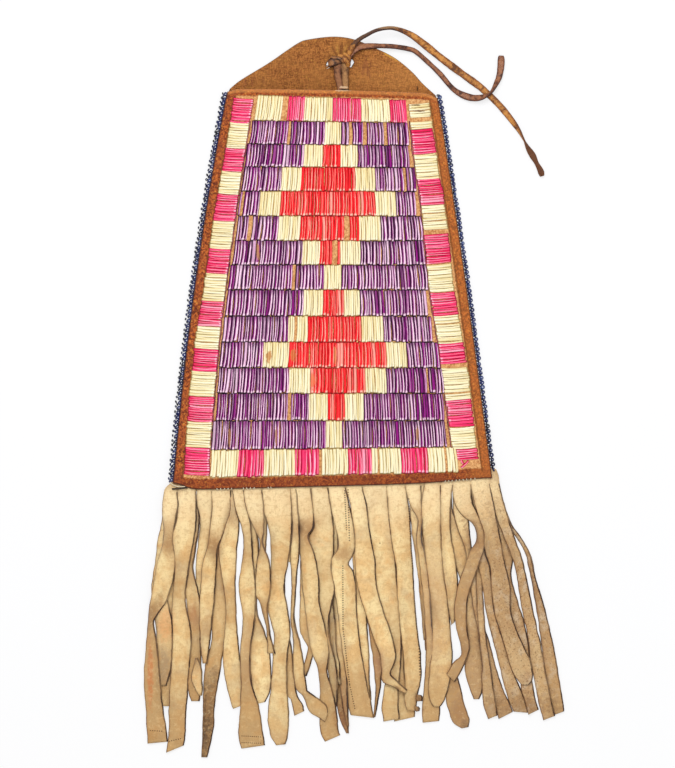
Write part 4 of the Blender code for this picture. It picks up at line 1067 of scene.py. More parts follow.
# For each strip the ply, 0 for the back one, how tan it is, the pixel height at which dirt begins, and a few
# pairs of edge points, read from the photograph in its pixels, from the seam to the tip: left x, right x and
# height, or both points where a pair is slanted
FRINGE_PX = [
    (0, 0.2, 700, [(174, 182, 487), (174, 182, 520), (172, 180, 548), (170, 176, 575)]),
    (0, 0.2, 700, [(256, 268, 489), (257, 268, 505), (259, 267, 522), (261, 266, 545), (259, 264, 570)]),
    (0, 0.3, 700, [(286, 296, 487), (287, 296, 520), (287, 294, 545), (286, 292, 562)]),
    (0, 0.4, 700, [(304, 316, 487), (305, 317, 520), (306, 317, 545), (308, 318, 570), (311, 319, 592),
        (312, 318, 604)]),
    (0, 0.2, 700, [(322, 334, 487), (322, 336, 520), (320, 334, 560), (318, 330, 600), (319, 327, 622)]),
    (0, 0.2, 700, [(350, 360, 487), (352, 361, 530), (353.4, 361, 572), (354.6, 361, 590), (357, 366.2, 611),
        (359, 366.9, 630), (360, 368.7, 648), (362, 368.9, 668), (366, 369.4, 685), (369.4, 371, 700)]),
    (0, 0.8, 560, [(362, 370, 487), (364, 371, 560), (366, 371, 605), (369, 372.6, 628), (371, 377.4, 646),
        (373.2, 381.2, 658), (374.5, 382.4, 668.5), (375.2, 380.8, 678), (376, 380.4, 686), (375, 377.8, 700),
        (373.4, 375, 717)]),
    (0, 0.9, 560, [(336, 344, 487), (335, 344, 560), (334, 346, 620), (336, 347, 650), (339, 348.4, 672),
        (341.4, 348, 694), (344.4, 347.6, 722)]),
    (0, 0.2, 700, [(414, 427, 485), (416, 428, 520), (418, 428, 560), (421, 429, 600), (424, 430, 640)]),
    (0, 0.2, 700, [(436, 444, 485), (437, 444, 530), (439, 446, 580), (444, 450, 620)]),
    (0, 0.2, 700, [(484, 492, 483), (486, 495, 510), (490, 502, 535), (496, 508, 556)]),
    (0, 0.6, 640, [(171, 178, 487.6), (166, 176, 560), (158, 172, 640), (158.5, 172, 680), (161, 171, 698),
        (163, 170, 706)]),
    (0, 0.3, 600, [(167.2, 171.5, 487.6), (164.2, 171.2, 498), (162.4, 171, 519), (158, 168, 545),
        (155.4, 166, 565), (152.2, 166, 591), (155.3, 172, 621), (157.5, 172.5, 643), (159.4, 171.5, 665),
        (160.2, 685.3, 167, 685)]),
    (1, 0.2, 700, [(197, 212, 487), (198, 213, 507), (200.5, 211, 528), (197.2, 208, 555), (196.5, 204, 577),
        (199, 206, 620), (201, 207, 655)]),
    (0, 0.5, 640, [(276, 286, 487), (277, 285, 600), (285, 290.5, 641), (287.3, 292.3, 653), (287, 294, 674),
        (288.4, 297, 695), (292, 700, 302, 704), (295.5, 715, 304, 711)]),
    (0, 0.7, 600, [(299, 307, 487), (301, 308, 560), (300.5, 308.5, 625), (303, 311.5, 637),
        (308.6, 314, 648), (305.5, 311, 663), (304.6, 306.6, 676)]),
    (0, 0.9, 600, [(339, 345, 487), (337, 344, 600), (338, 343, 660), (337, 342.6, 700), (341, 347, 720),
        (346.4, 348, 733)]),
    (0, 0.5, 640, [(330, 337.5, 487), (331, 338, 560), (334.5, 341, 620), (336, 344, 648),
        (339.6, 346.6, 680), (343.6, 347.8, 708), (346.6, 348, 726)]),
    (0, 0.3, 660, [(320, 328, 487), (322, 330, 570), (329.5, 334.8, 622), (329.3, 336.2, 647),
        (334, 339.2, 663), (338.6, 340.4, 683)]),
    (0, 0.4, 660, [(394, 404, 487), (398, 404, 600), (398, 404, 645), (396.5, 405, 678), (396.8, 414, 705),
        (394.6, 721.3, 415, 716.6)]),
    (0, 0.2, 600, [(409.5, 419, 487), (411, 420, 520), (414, 419, 545), (416.5, 422, 566), (420.5, 426, 590),
        (423.8, 429, 620), (426, 431, 650)]),
    (0, 0.8, 600, [(430, 439, 487), (432, 441, 560), (437, 446, 610), (443, 451.5, 660), (447.8, 458.5, 681),
        (446.3, 462.8, 699), (449.6, 467, 713), (453.5, 722.5, 469, 720), (462, 728, 467.5, 727)]),
    (0, 0.5, 600, [(440, 451.5, 487), (448.5, 452, 508), (447.3, 458.7, 530), (450, 464.5, 545),
        (455, 468, 562), (462.5, 475, 590), (466, 478, 618), (468.4, 480, 642), (465.6, 482.2, 662),
        (466.5, 483.6, 677), (471, 482, 691), (474, 478.5, 699)]),
    (0, 0.2, 600, [(453.5, 462.5, 487), (453.5, 465, 507), (457, 469, 525), (464, 470.6, 545),
        (467.5, 474.5, 560), (471, 477, 590), (474, 478.5, 612), (479.5, 487, 636), (481.5, 491, 652),
        (484, 496.5, 670), (491.5, 503, 689), (495, 509.5, 704), (498.6, 718.8, 512, 712)]),
    (0, 0.5, 640, [(480, 482, 487), (476.5, 482, 560), (478, 484, 620), (482, 489, 660), (482.5, 492, 684),
        (484, 496, 706), (488.5, 718.8, 496.8, 715)]),
    (0, 0.4, 640, [(471, 479, 487), (476, 482, 520), (480, 484.5, 549), (478.8, 489.5, 566), (483, 492, 586),
        (486.4, 494.6, 612), (493, 502.5, 640), (501, 513, 671), (508, 523, 697), (514, 711.5, 527, 712.5)]),
    (0, 0.7, 560, [(482, 489, 487), (494, 500, 520), (499, 507.5, 540), (503, 512, 558), (505, 510.6, 575),
        (508.5, 516.8, 600), (515, 525, 626), (521, 529.2, 655), (521, 532.6, 686), (524.5, 535, 701),
        (528, 714.3, 537.4, 710)]),
    (0, 0.6, 540, [(490, 495, 487), (500, 505.4, 510), (508, 511, 524), (516.6, 521, 537),
        (526.6, 530.2, 555), (531, 534.8, 575), (535.6, 541.8, 600), (541.5, 551.8, 640), (545.8, 557, 670),
        (550.7, 562, 700), (555.3, 714.3, 563.9, 711)]),
    (0, 0.2, 690, [(246, 258, 487), (251, 257, 530), (252.7, 258.6, 551), (252.5, 256.5, 575),
        (254.8, 257, 612), (253.2, 264, 630), (250.6, 268.4, 645), (250.8, 270.5, 668), (253.2, 270, 690),
        (255, 704.2, 264.5, 702)]),
    (1, 0.4, 640, [(311.5, 327.6, 487), (313.6, 331.4, 511), (314.4, 333.8, 528), (309.6, 334, 537),
        (312.6, 334, 552), (315.6, 331.7, 568), (319.6, 334.8, 586), (319.4, 330.8, 605), (325, 328.6, 631),
        (328, 336, 665), (331, 337, 692), (333.6, 336.4, 708)]),
    (0, 0.8, 600, [(189, 195, 487), (192, 196.8, 503), (195.6, 199.6, 520), (191, 194.8, 551),
        (188.4, 193, 570), (186.6, 198.6, 592), (188.4, 200.6, 615), (190.4, 200.6, 650), (189, 201, 680),
        (190, 200.4, 693), (192.5, 199, 701)]),
    (1, 0.4, 600, [(166.8, 177.4, 487), (164.2, 177.6, 495), (162.9, 178, 507), (164.2, 173.8, 537),
        (157.6, 176, 565), (151.6, 168.4, 597), (149, 157, 614), (148, 153.6, 622), (146.4, 156.8, 643),
        (145, 160.5, 680), (146.4, 163, 707), (148, 743.2, 167.4, 741.6)]),
    (1, 0.1, 700, [(196.6, 198.2, 657), (194.6, 201.6, 666), (192.4, 202.4, 678), (195.4, 202.6, 688),
        (198.6, 201.6, 695)]),
    (1, 0.35, 640, [(177.8, 195.6, 487), (178, 196.2, 515), (174, 194.6, 537), (176.4, 189.4, 563),
        (173.4, 185.4, 599), (172.7, 191.2, 630), (172.2, 189.8, 660), (169.4, 186, 708), (168.6, 184.6, 735),
        (167.6, 751.8, 183.4, 745.4)]),
    (0, 1.0, 622, [(214, 227, 487), (214, 221, 530), (216.8, 219.6, 551), (215.6, 224, 583),
        (212.6, 226.8, 614), (211.6, 224.6, 643), (205.6, 220, 668), (203.4, 214.6, 702), (203, 213.6, 728),
        (202.4, 209.4, 748), (202, 207, 757)]),
    (1, 0.5, 640, [(211.6, 230.6, 487), (213, 231, 508), (209.8, 223.4, 534), (208, 217.6, 547),
        (202.6, 216.6, 567), (200.6, 214, 600), (200.5, 210.8, 628), (201.8, 208.4, 650),
        (203.4, 206.4, 663)]),
    (0, 0.3, 660, [(229, 241, 487), (230.8, 236.5, 507), (226.5, 239.3, 524), (219.4, 236.6, 551),
        (224.2, 235.7, 587), (226.4, 236, 612), (223.7, 239, 655), (226.4, 242.3, 681), (231, 242, 701),
        (233.8, 708.4, 241, 705.6)]),
    (1, 0.4, 640, [(232, 243.2, 487), (236.6, 248, 510), (242.8, 251.2, 530), (243.3, 252.8, 555),
        (239.4, 255.8, 586), (243, 254.8, 615), (240.8, 250.2, 650), (242, 251.2, 680), (240.4, 259, 709),
        (239.2, 262.8, 737), (241.4, 748.4, 263.8, 745.2)]),
    (1, 0.3, 690, [(262, 290.5, 487), (263.4, 291.6, 508), (267.6, 291.8, 521), (270.8, 291.2, 537),
        (271.2, 287.6, 564), (270, 284.5, 587), (268.6, 287.6, 609), (274.6, 290, 634), (273.2, 287.2, 654),
        (271.6, 286.8, 683), (268.2, 288.4, 716), (270.8, 287.2, 735), (277, 745, 285, 744)]),
    (1, 0.6, 600, [(243.6, 262, 487), (248, 264, 512), (255.4, 263.8, 530), (260.2, 262.8, 543),
        (257.6, 269.4, 562), (255.8, 270.6, 581), (256.2, 269.6, 594), (260.6, 267.6, 603),
        (262.6, 267.6, 612), (267.2, 269.8, 632), (268.4, 275, 653)]),
    (1, 0.5, 640, [(291, 310.6, 487), (293.6, 313.2, 512), (299.8, 312.6, 527), (297.6, 308, 536),
        (300, 313.4, 552), (302.2, 318, 577), (304.6, 319.4, 602), (307.6, 325, 627), (312, 329.2, 650),
        (318.6, 327.2, 671), (320.6, 334.6, 699), (321, 338, 730), (325.4, 741.4, 340, 735)]),
    (1, 0.4, 650, [(291.2, 296.5, 487), (292.8, 299, 528), (290.8, 299, 555), (291.6, 296.4, 580),
        (291.4, 294.6, 618), (293.6, 297.6, 635), (293.6, 303, 657), (295.6, 686, 306, 687),
        (303.4, 696.4, 309, 691.6), (310, 711, 319.6, 698.8), (319.8, 717, 326.4, 705),
        (325, 721, 327.8, 711.4)]),
    (1, 0.3, 660, [(363, 386.6, 487), (366.8, 388.8, 511), (370, 391.4, 537), (374, 395, 560),
        (375.6, 396.8, 585), (383.6, 399.2, 613), (391, 401, 637), (392, 400.3, 660), (384.5, 398.6, 686),
        (381.8, 397.8, 706), (383.6, 721.4, 398.4, 718.6)]),
    (1, 0.35, 640, [(387, 405.4, 487), (389, 409, 511), (392, 410.8, 539), (396, 412.2, 565),
        (397.8, 414.4, 596), (401, 416.6, 629), (403.6, 419.8, 655), (405, 420.2, 680), (404.6, 417.4, 692),
        (404.8, 416.8, 701), (407, 709.4, 415.2, 710.4)]),
    (1, 0.2, 640, [(346, 362.5, 487), (350.6, 366.6, 507), (355, 369.6, 535), (355.4, 374.6, 560),
        (357.4, 376, 583), (364.8, 382.8, 609), (372.6, 390.8, 633), (380.4, 395.4, 654),
        (382, 667, 393, 664), (383, 679.6, 390, 673), (394.4, 685.6, 397.8, 680.6),
        (405.2, 691.6, 406.8, 689)]),
    (1, 0.2, 640, [(328, 345.4, 487), (332.8, 351.8, 516), (337.8, 354.6, 535), (338.6, 355.4, 547),
        (332.4, 352, 557), (331.7, 348.6, 564), (332.6, 354, 575), (338.4, 356.8, 611), (341.8, 360, 645),
        (347.6, 366, 681), (348.6, 371.2, 704), (351, 715, 373.6, 717.6)]),
    (1, 0.4, 640, [(405.8, 420.6, 487), (411, 422, 506), (418.6, 422.6, 520), (416, 421.4, 538),
        (419.4, 426, 560), (422.3, 429.2, 588), (424.8, 431.2, 620), (426, 435, 650), (425, 437, 680),
        (422.4, 439.8, 708), (422.6, 722.4, 439.4, 720.8)]),
    (1, 0.35, 680, [(423.6, 440.2, 487), (422, 441.5, 507), (423, 441, 536), (427.4, 443, 566),
        (430.8, 447.8, 605), (432, 451, 640), (430.6, 451.8, 661), (429, 447.4, 688), (430.6, 444.2, 699),
        (434, 440, 706)]),
    (1, 0.1, 700, [(441, 452.4, 485), (441.2, 450.4, 507), (441.3, 450.2, 530), (442.8, 455.4, 562),
        (445.6, 457.4, 585), (447.8, 455.8, 605), (449.4, 455.2, 616), (450.6, 625, 454.6, 622)]),
    (1, 0.6, 510, [(452.6, 470.5, 485), (454.2, 471.6, 501), (461, 514, 476.2, 511.6),
        (473, 524, 482.2, 525.4), (477, 538, 484.4, 540.4), (470, 552, 480.4, 558), (461, 577, 472.6, 580),
        (455.2, 466.8, 600), (455, 466, 622), (461, 468.8, 645), (461.4, 655, 467.4, 653),
        (453.6, 662, 461.4, 668), (446.4, 673.4, 454, 680.6)]),
    (1, 0.3, 640, [(490.6, 468.2, 494.0, 468.6), (490, 476, 496.8, 475), (489.4, 498.4, 484),
        (491, 501.6, 497), (493, 504.6, 507), (499, 509.4, 525), (506.4, 515.4, 542), (513.4, 521.8, 560),
        (518.4, 527.2, 584), (522.2, 532.2, 609), (528.4, 539.6, 642), (533.6, 545.8, 675), (540, 552, 706),
        (543.6, 719.8, 553.6, 716)]),
    (1, 0.3, 668, [(471.4, 489.6, 485), (476.4, 494, 509), (484, 498.6, 532), (484.6, 501.4, 547),
        (490.6, 506, 568), (491.8, 509.8, 588), (495, 510.8, 612), (501.6, 517.4, 634), (508.2, 528.4, 657),
        (512.6, 531.6, 671), (517, 531.4, 679), (520.6, 528, 684)]),
    (1, 1.0, 560, [(416.8, 693.8, 420.6, 694.6), (416.0, 422.0, 697), (417.4, 421.6, 700.6)]),
    (1, 1.0, 560, [(415.4, 705.2, 418.0, 706.0), (415.0, 419.4, 708), (416.2, 418.8, 710.8)]),
]
# Strips that start below this height are folded-over ends and aren't let into the seam
FOLDED_PX = 600
# The uncut band along the seam: lower and upper edge
HEADER_PX = [
    (169.4, 488.6, 176, 486), (180, 489.6, 181, 481), (220, 491.4, 220, 482), (260, 490.8, 260, 481),
    (300, 489.2, 300, 479), (330, 488.6, 330, 479), (380, 488.0, 380, 478), (430, 485.0, 430, 475),
    (470, 482.2, 470, 472), (487, 480.6, 486, 471), (494, 480, 489, 472),
]
FRINGE_HIDE_THICKNESS = 0.0010
# How deep the knife's nicks and its wander are, how far a twisted strip and a waving one rise, and how far
# below the seam a strip has come down to the floor. Dirt takes the last length to come in fully.
CUT_NICKS = 0.00016
CUT_WANDER = 0.0005
TWIST_RISE = 0.0026
WAVE_RISE = 0.0003
SEAM_DROP = 0.013
SOIL_FADE = 0.05
# How far a strip's head runs up into the seam and between which places across, in pixels, how far its edges
# lie outside the pairs, and the distance between its rows
TUCKED_PX = 11.0
CORNERS_PX = ((178.5, 181.0), (486.5, 489.5))
CUT_SPREAD = 0.0004
STRIP_STEP = 0.0016
STRIP_ACROSS = np.array([-1.0, -0.93, -0.78, -0.5, -0.2, 0.2, 0.5, 0.78, 0.93, 1.0])
# The heap of strips so far, as the height of its top in each cell of a grid on the floor
PILE_CELL = 0.0006
PILE_ORIGIN = np.array([-0.150, -0.300])
pile = np.zeros((560, 340))


def running(values, reach, combine):
    """Each row replaced by the combination of the rows up to that many places before and after it."""
    padded_rows = np.pad(values, ((reach, reach),) + ((0, 0),) * (values.ndim - 1), mode="edge")
    return combine([padded_rows[k:k + len(values)] for k in range(2 * reach + 1)], axis=0)


def pile_cells(x, y):
    """The pile's cell numbers for places in metres."""
    cells = ((values - origin) / PILE_CELL for values, origin in zip((x, y), PILE_ORIGIN))
    return tuple(np.clip(part.astype(int), 0, limit - 1) for part, limit in zip(cells, pile.shape))


def lie_on(x, y):
    """The height of a strip's underside at each of its points: the pile below it, widened and smoothed along
    the strip because hide can't bend sharply, but never lower than the pile."""
    below = pile[pile_cells(x, y)]
    for near, far in ((0, 2), (1, 2), (-1, -3), (-2, -3)):
        below[:, near] = np.minimum(below[:, near], below[:, far])
    height = running(running(below, 3, np.max), 4, np.mean)
    across = running(running(height.T, 1, np.max), 2, np.mean).T
    return np.maximum(across * 0.6 + height * 0.4, below)


def heap_up(x, y, top):
    """Raises the pile to a strip's upper face, sampled four times between neighbouring points."""
    for share in np.linspace(0, 1, 5):
        parts = [part[:, :-1] * (1 - share) + part[:, 1:] * share for part in (x, y, top)]
        for step in np.linspace(0, 1, 4)[:-1]:
            between = [part[:-1] * (1 - step) + part[1:] * step for part in parts]
            np.maximum.at(pile, pile_cells(*between[:2]), between[2])


def fringe_strip(pairs, rng):
    """The grid of places of one strip: its edges are smooth curves through the pairs, roughened as a knife
    leaves them, and the rows between them are evenly spaced along it. A strip that starts at the seam runs up
    into it, within the pouch's corners. Also its width by row."""
    level = ((pair[0], pair[2], pair[1], pair[2]) if len(pair) == 3 else pair for pair in pairs)
    pairs = np.array(list(level), dtype=float)
    if pairs[0, 3] < FOLDED_PX and pairs[0, 1] == pairs[0, 3]:
        head = pairs[0] - np.array([0, TUCKED_PX, 0, TUCKED_PX])
        head[[0, 2]] = np.clip(head[[0, 2]], *CORNERS_PX)
        pairs = np.concatenate([head[None], pairs])
    left, right = (np.stack(at_pixel(*pairs[:, k:k + 2].T), 1) for k in (0, 2))
    length = np.linalg.norm(np.diff((left + right) / 2, axis=0), axis=1).sum()
    rows = max(8, int(length / STRIP_STEP))
    edges = smooth_line(np.concatenate([left, right], 1), rows)
    left, right = edges[:, :2], edges[:, 2:]
    width = np.linalg.norm(right - left, axis=1)
    side = unit(right - left)
    rough = running(rng.normal(0, 1, (rows, 2)), 1, np.mean) * CUT_NICKS
    rough = rough + running(rng.normal(0, 1, (rows, 2)), 5, np.mean) * CUT_WANDER
    left = left - side * (rough[:, :1] + CUT_SPREAD)
    right = right + side * (rough[:, 1:] + CUT_SPREAD)
    w = (STRIP_ACROSS[None, :, None] + 1) / 2
    grid = left[:, None] * (1 - w) + right[:, None] * w
    return grid[..., 0], grid[..., 1], width, length


def build_strip(index, ply, tan, soiled_px, pairs):
    """One strip as a closed body, laid on the pile below it. Where it is drawn in it humps up, as twisted
    hide does, and elsewhere it waves and cups a little."""
    rng = np.random.default_rng(FRINGE_SEED + index)
    x, y, width, length = fringe_strip(pairs, rng)
    rows = len(x)
    w = STRIP_ACROSS[None, :]
    thick = FRINGE_HIDE_THICKNESS * rng.uniform(0.85, 1.1)
    level = lie_on(x, y)
    seam_y = -BODY_LENGTH / 2 + x / SEAM_WIDTH * SEAM_SKEW
    drop = np.clip((seam_y - y) / SEAM_DROP, 0, 1)
    drop = drop * drop * (3 - 2 * drop)
    full_width = running(running(width, 12, np.max), 6, np.mean)
    drawn_in = np.clip(1 - width / full_width, 0, 1)
    drawn_in[-8:] *= 0
    drawn_in = running(drawn_in, 2, np.mean)[:, None]
    hump = TWIST_RISE * drawn_in * (1 - w ** 2)
    run = np.linspace(0, length, rows)[:, None]
    wave = WAVE_RISE * (1 + np.sin(run * rng.uniform(120, 260) + rng.uniform(0, 6) + 0.8 * w))
    cup = rng.uniform(-0.0004, 0.0008) * w ** 2
    slope = rng.uniform(0, 0.0005) * (1 + w * rng.choice([-1, 1]))
    under = 0.00005 + level + (hump + wave + np.maximum(cup, 0) + slope) * drop
    in_seam = BACK_HIDE + CLEARANCE + ply * (FRINGE_HIDE + CLEARANCE)
    under = in_seam * (1 - drop) + under * drop
    heap_up(x, y, under + thick)
    rounding = 0.35 + 0.65 * (1 - np.abs(w) ** 8)
    top = np.stack([x, y, under + thick * rounding], -1)
    bottom = np.stack([x, y, under], -1)[:, ::-1]
    shell = np.concatenate([top, bottom], axis=1)
    columns = shell.shape[1]
    faces = grid_faces(rows, columns, True)[:, ::-1].tolist()
    half = columns // 2
    for start, order in ((0, -1), ((rows - 1) * columns, 1)):
        for k in range(half - 1):
            end = start + columns - 1 - k
            faces.append([start + k, end, end - 1, start + k + 1][::order])
    soiled = np.clip((-y.mean(1) - (soiled_px - POUCH_MIDDLE_PX[1]) * PIXEL) / SOIL_FADE, 0, 1)[:, None]
    upper = {"edge": (1 - np.abs(w)) * width[:, None] / 2 * 1000, "tan": tan + 0 * x, "soil": soiled + 0 * x,
             "tuck": drawn_in + 0 * x, "side": w + 0 * x, "below": (seam_y - y) * 1000}
    facts = {label: np.concatenate([values, values[:, ::-1]], 1) for label, values in upper.items()}
    return shell.reshape(-1, 3), faces, facts


# Stains and handled places on the fringe, with painted shade on some twists and creases: place, half
# width, half height, turn and colour
STAINS_AND_SHADE = [
    (150.4, 672, 2.8, 30, 0, (204, 112, 58)), (166, 622, 8, 16, 0, (230, 166, 108)),
    (165, 668, 6, 16, 0, (160, 132, 102)), (194, 616, 6, 12, 0, (174, 114, 74)),
    (215, 549, 7, 13, 10, (156, 110, 66)), (306, 529, 9, 12, 0, (172, 126, 80)),
    (343, 553, 10, 6, 20, (178, 132, 86)), (474, 541, 6, 18, 20, (160, 118, 82)),
    (421, 528, 2, 14, 0, (128, 80, 42)), (286, 745, 5, 3, 0, (120, 74, 36)),
    (526, 678, 7, 7, 0, (154, 128, 100)), (461, 712, 9, 15, 0, (146, 100, 64)),
    (465.6, 725, 4, 5, 0, (72, 46, 34)), (379.8, 543, 0.7, 0.7, 0, (104, 52, 18)),
    (342, 720, 6, 14, 20, (122, 66, 38)), (344, 700, 4, 30, 0, (138, 96, 70)),
    (378, 665, 5, 12, 0, (176, 128, 98)), (210, 706, 9, 34, -8, (96, 68, 48)),
    (206, 740, 6, 22, -8, (60, 42, 32)), (203.6, 722, 1.5, 32, -3, (26, 16, 12)),
    (396.6, 686.4, 3.2, 1.6, -20, (54, 32, 18)), (248, 650, 6, 30, 0, (206, 168, 120)),
    (148, 735, 9, 6, 0, (186, 138, 82)), (508, 640, 56, 110, 0, (186, 149, 110)),
    (432, 612, 12, 62, 0, (202, 162, 118)), (505, 575, 34, 66, 12, (178, 140, 98)),
    (155, 610, 5, 20, -24, (146, 102, 60)), (170, 545, 5, 12, 0, (164, 116, 70)),
    (433, 690, 10, 22, 0, (196, 156, 104)), (362, 690, 14, 26, 0, (206, 164, 110)),
    (522, 706, 34, 12, 0, (150, 114, 78)), (419, 702, 4, 12, 0, (96, 60, 40)),
]
# Rows of needle holes and nicks: both ends, spacing and half width
NEEDLE_ROWS = [
    ((344.6, 490), (346.6, 531), 2.28, 0.585), ((348.0, 489), (349.4, 541), 2.52, 0.585),
    ((342.8, 565), (343.0, 628), 2.28, 0.585), ((343.0, 628), (349.6, 684), 2.4, 0.585),
    ((349.6, 684), (355.0, 709), 2.4, 0.52), ((241.6, 735.6), (261.6, 736.6), 2.04, 0.455),
    ((241.6, 742.2), (262.2, 743.0), 2.04, 0.455), ((150, 730), (163, 731), 2.28, 0.455),
    ((169, 741), (182, 738), 2.28, 0.455), ((408.4, 498), (410.6, 540), 2.52, 0.715),
    ((410.6, 540), (414.4, 590), 2.52, 0.78), ((414.6, 590), (416.6, 615), 2.52, 1.17),
    ((416.6, 615), (419.6, 645), 2.64, 1.3), ((419.6, 645), (420.6, 677), 2.88, 1.3),
]


def fringe_finish():
    """Pale tanned hide: a soft nap with faint lines both ways, cloudy tan with rubbed patches, dirtier
    towards the tips, painted light near the seam, stains and handled places, painted shade where a strip is
    drawn in, towards its right edge and softly along its edges, and dark along the cut edges, partly the cut
    hide's own colour and partly painted shadow, more so on the right."""
    finish = Finish("pale_fringe_hide", roughness=0.9, sheen=0.15)
    edge, tan, soil, tuck, side, below = (
        finish.fact(name) for name in ("edge", "tan", "soil", "tuck", "side", "below"))
    clouds = finish.clouds(110, 4.0, 0.4)
    colour = clouds.between(0.34, 0.66).tint((234, 193, 132), (252, 226, 168))
    colour = (tan.between(0.1, 1.0) * 0.48).tint(colour, (196, 152, 100))
    colour = (finish.clouds(70, 3.0, 0.6).between(0.52, 0.70) * 0.40).tint(colour, (204, 178, 140))
    colour = (finish.clouds(85, 3.0, 0.9).between(0.44, 0.28) * 0.40).tint(colour, (236, 178, 110))
    colour = (soil * (clouds + 0.3) * 0.85).tint(colour, (172, 130, 82))
    # Painted light near the seam, lifting the header out of the pouch's shade
    colour = (below.between(40.0, 3.0) * 0.66).tint(colour, (255, 230, 182))
    # Stains and handled places, some of them painted shade on twists and creases
    for px, py, wide, tall, turn, shows in STAINS_AND_SHADE:
        colour = (finish.spot(px, py, wide, tall, turn, soft=0.6) * 0.62).tint(colour, shows)
    # Painted shade towards each strip's right edge
    colour = (side.between(0.0, 1.0) * 0.20).tint(colour, (178, 132, 84))
    # Painted shade where a strip is drawn in and twisted
    colour = (tuck.between(0.10, 0.45) * 0.42).tint(colour, (158, 114, 72))
    colour = (finish.clouds(420, 4.0, 0.4).between(0.48, 0.68) * 0.32).tint(colour, (190, 146, 94))
    bleached = finish.clouds(380, 4.0, 0.5, rough=0.6).between(0.48, 0.32)
    colour = (bleached * 0.22).tint(colour, (250, 222, 168))
    lines = finish.clouds(1.0, 3.0, 0.2, place=finish.stretched(260.0, 1500.0, 300.0))
    lines = lines.maths("MAXIMUM", finish.clouds(1.0, 3.0, 0.2, place=finish.stretched(1500.0, 260.0, 300.0)))
    colour = (lines.between(0.55, 0.72) * 0.24).tint(colour, (184, 132, 74))
    colour = (finish.clouds(1300, 4.0, 0.3).between(0.43, 0.30) * 0.26).tint(colour, (176, 126, 70))
    grainy = finish.spot(522.0, 610.0, 44.0, 120.0, soft=0.6)
    colour = (grainy * finish.clouds(150, 3.0, 0.5).between(0.50, 0.68) * 0.45).tint(colour, (220, 200, 170))
    grit = finish.clouds(950, 4.0, 0.4, rough=0.75).between(0.47, 0.36)
    colour = (grainy * grit * 0.8).tint(colour, (128, 90, 54))
    for first, last, spacing, size in NEEDLE_ROWS:
        colour = (finish.holes(first, last, spacing, size) * 0.9).tint(colour, (64, 38, 20))
    ragged = edge + finish.clouds(500, 3.0) * 0.5 - 0.25
    weight = finish.clouds(60, 3.0, 0.5).between(0.36, 0.60)
    # Painted shade softly along the strips' edges
    colour = (ragged.between(1.7, 0.4) * 0.20).tint(colour, (150, 104, 62))
    cut = below.between(0.5, 1.5)
    # The cut edges: dark cut hide with painted shade on the left, painted shadow on the neighbour on the
    # right
    left_cut_and_shade = side.between(0.3, -0.3) * ragged.between(0.56, 0.30) * (weight * 0.45 + 0.40)
    right_cut_and_shadow = side.between(-0.3, 0.3) * ragged.between(0.92, 0.56) * (weight * 0.40 + 0.58)
    colour = (left_cut_and_shade * cut).tint(colour, (98, 56, 24))
    colour = (right_cut_and_shadow * cut).tint(colour, (50, 22, 6))
    return finish.give(colour, hide_relief(finish, 1500), 0.0004)


pale = fringe_finish()
plies = {0: [], 1: []}
plies[0].append(build_strip(99, 0, 0.1, 700, HEADER_PX))
for index, (ply, *strip) in enumerate(FRINGE_PX):
    plies[ply].append(build_strip(index, ply, *strip))
for ply, node, flat, area in ((0, "fringe_back", (0.200, 0.165), 0.0240),
                              (1, "fringe_front", (0.205, 0.170), 0.0265)):
    points, faces, facts = zip(*plies[ply])
    bases = np.cumsum([0] + [len(part) for part in points[:-1]])
    all_faces = [[corner + base for corner in face]
                 for base, part in zip(bases.tolist(), faces) for face in part]
    joined = {label: np.concatenate([part[label].reshape(-1) for part in facts]) for label in facts[0]}
    piece = new_piece(node + "_strips", np.concatenate(points), all_faces, facts=joined)
    dress(piece, pale, "fringe_hide", node)

# The bottom seam's stitches: pale linen over the raw edge, which shows where the edge has drawn back, and
# at the left corner the ends of that thread and of a dark one that mended it.
STITCHES_PX = [
    217.4, 220.9, 224.2, 227.9, 231.6, 243.6, 247.0, 250.1, 253.8, 268.6, 271.2, 445.0, 448.8, 452.0, 455.8,
    459.2, 463.4, 466.8, 470.8, 474.8,
]
SEAM_PX = 487
SEAM_HEIGHT = 0.0057
STITCH_HEIGHTS = (0.0059, 0.0060, 0.0050)
STITCH_HALF = 0.0006
STITCH_LEAN = 0.0004
STITCH_THICKNESS = 0.0005
THREAD_RINGS = 9
THREAD_SIDES = 8


def thread_line(*places):
    """Metres for places in the picture's pixels and millimetres over the floor."""
    px, py, height = np.array(places).T
    x, y = at_pixel(px, py, height / 1000)
    return np.stack([x, y, height / 1000], 1)


# The loose ends and then the stitches: three places along each, and how thick it is
dark_ends = [(thread_line((172.2, 488.9, 4.9), (179.6, 488.6, 6.0), (187.4, 487.6, 6.3)), 0.00105)]
pale_ends = [(thread_line((169.6, 482.4, 4.6), (172.8, 484.8, 5.0), (176.4, 486.2, 5.0)), 0.00055),
             (thread_line((175.0, 486.0, 5.0), (180.2, 486.8, 5.2), (185.2, 486.6, 5.6)), 0.00075)]
for px in STITCHES_PX:
    stitch_x, _ = at_pixel(px, SEAM_PX, SEAM_HEIGHT)
    share = (stitch_x - side_x(-1, 0)) / (side_x(1, 0) - side_x(-1, 0))
    stitch_y = pouch_place(share, 0.0)[1]
    lean = STITCH_LEAN * math.sin(px * 7)
    stitch = np.stack([stitch_x + np.array([-lean, 0, lean]),
                       stitch_y + np.array([STITCH_HALF, -0.0001, -STITCH_HALF]), STITCH_HEIGHTS], 1)
    pale_ends.append((stitch, STITCH_THICKNESS))
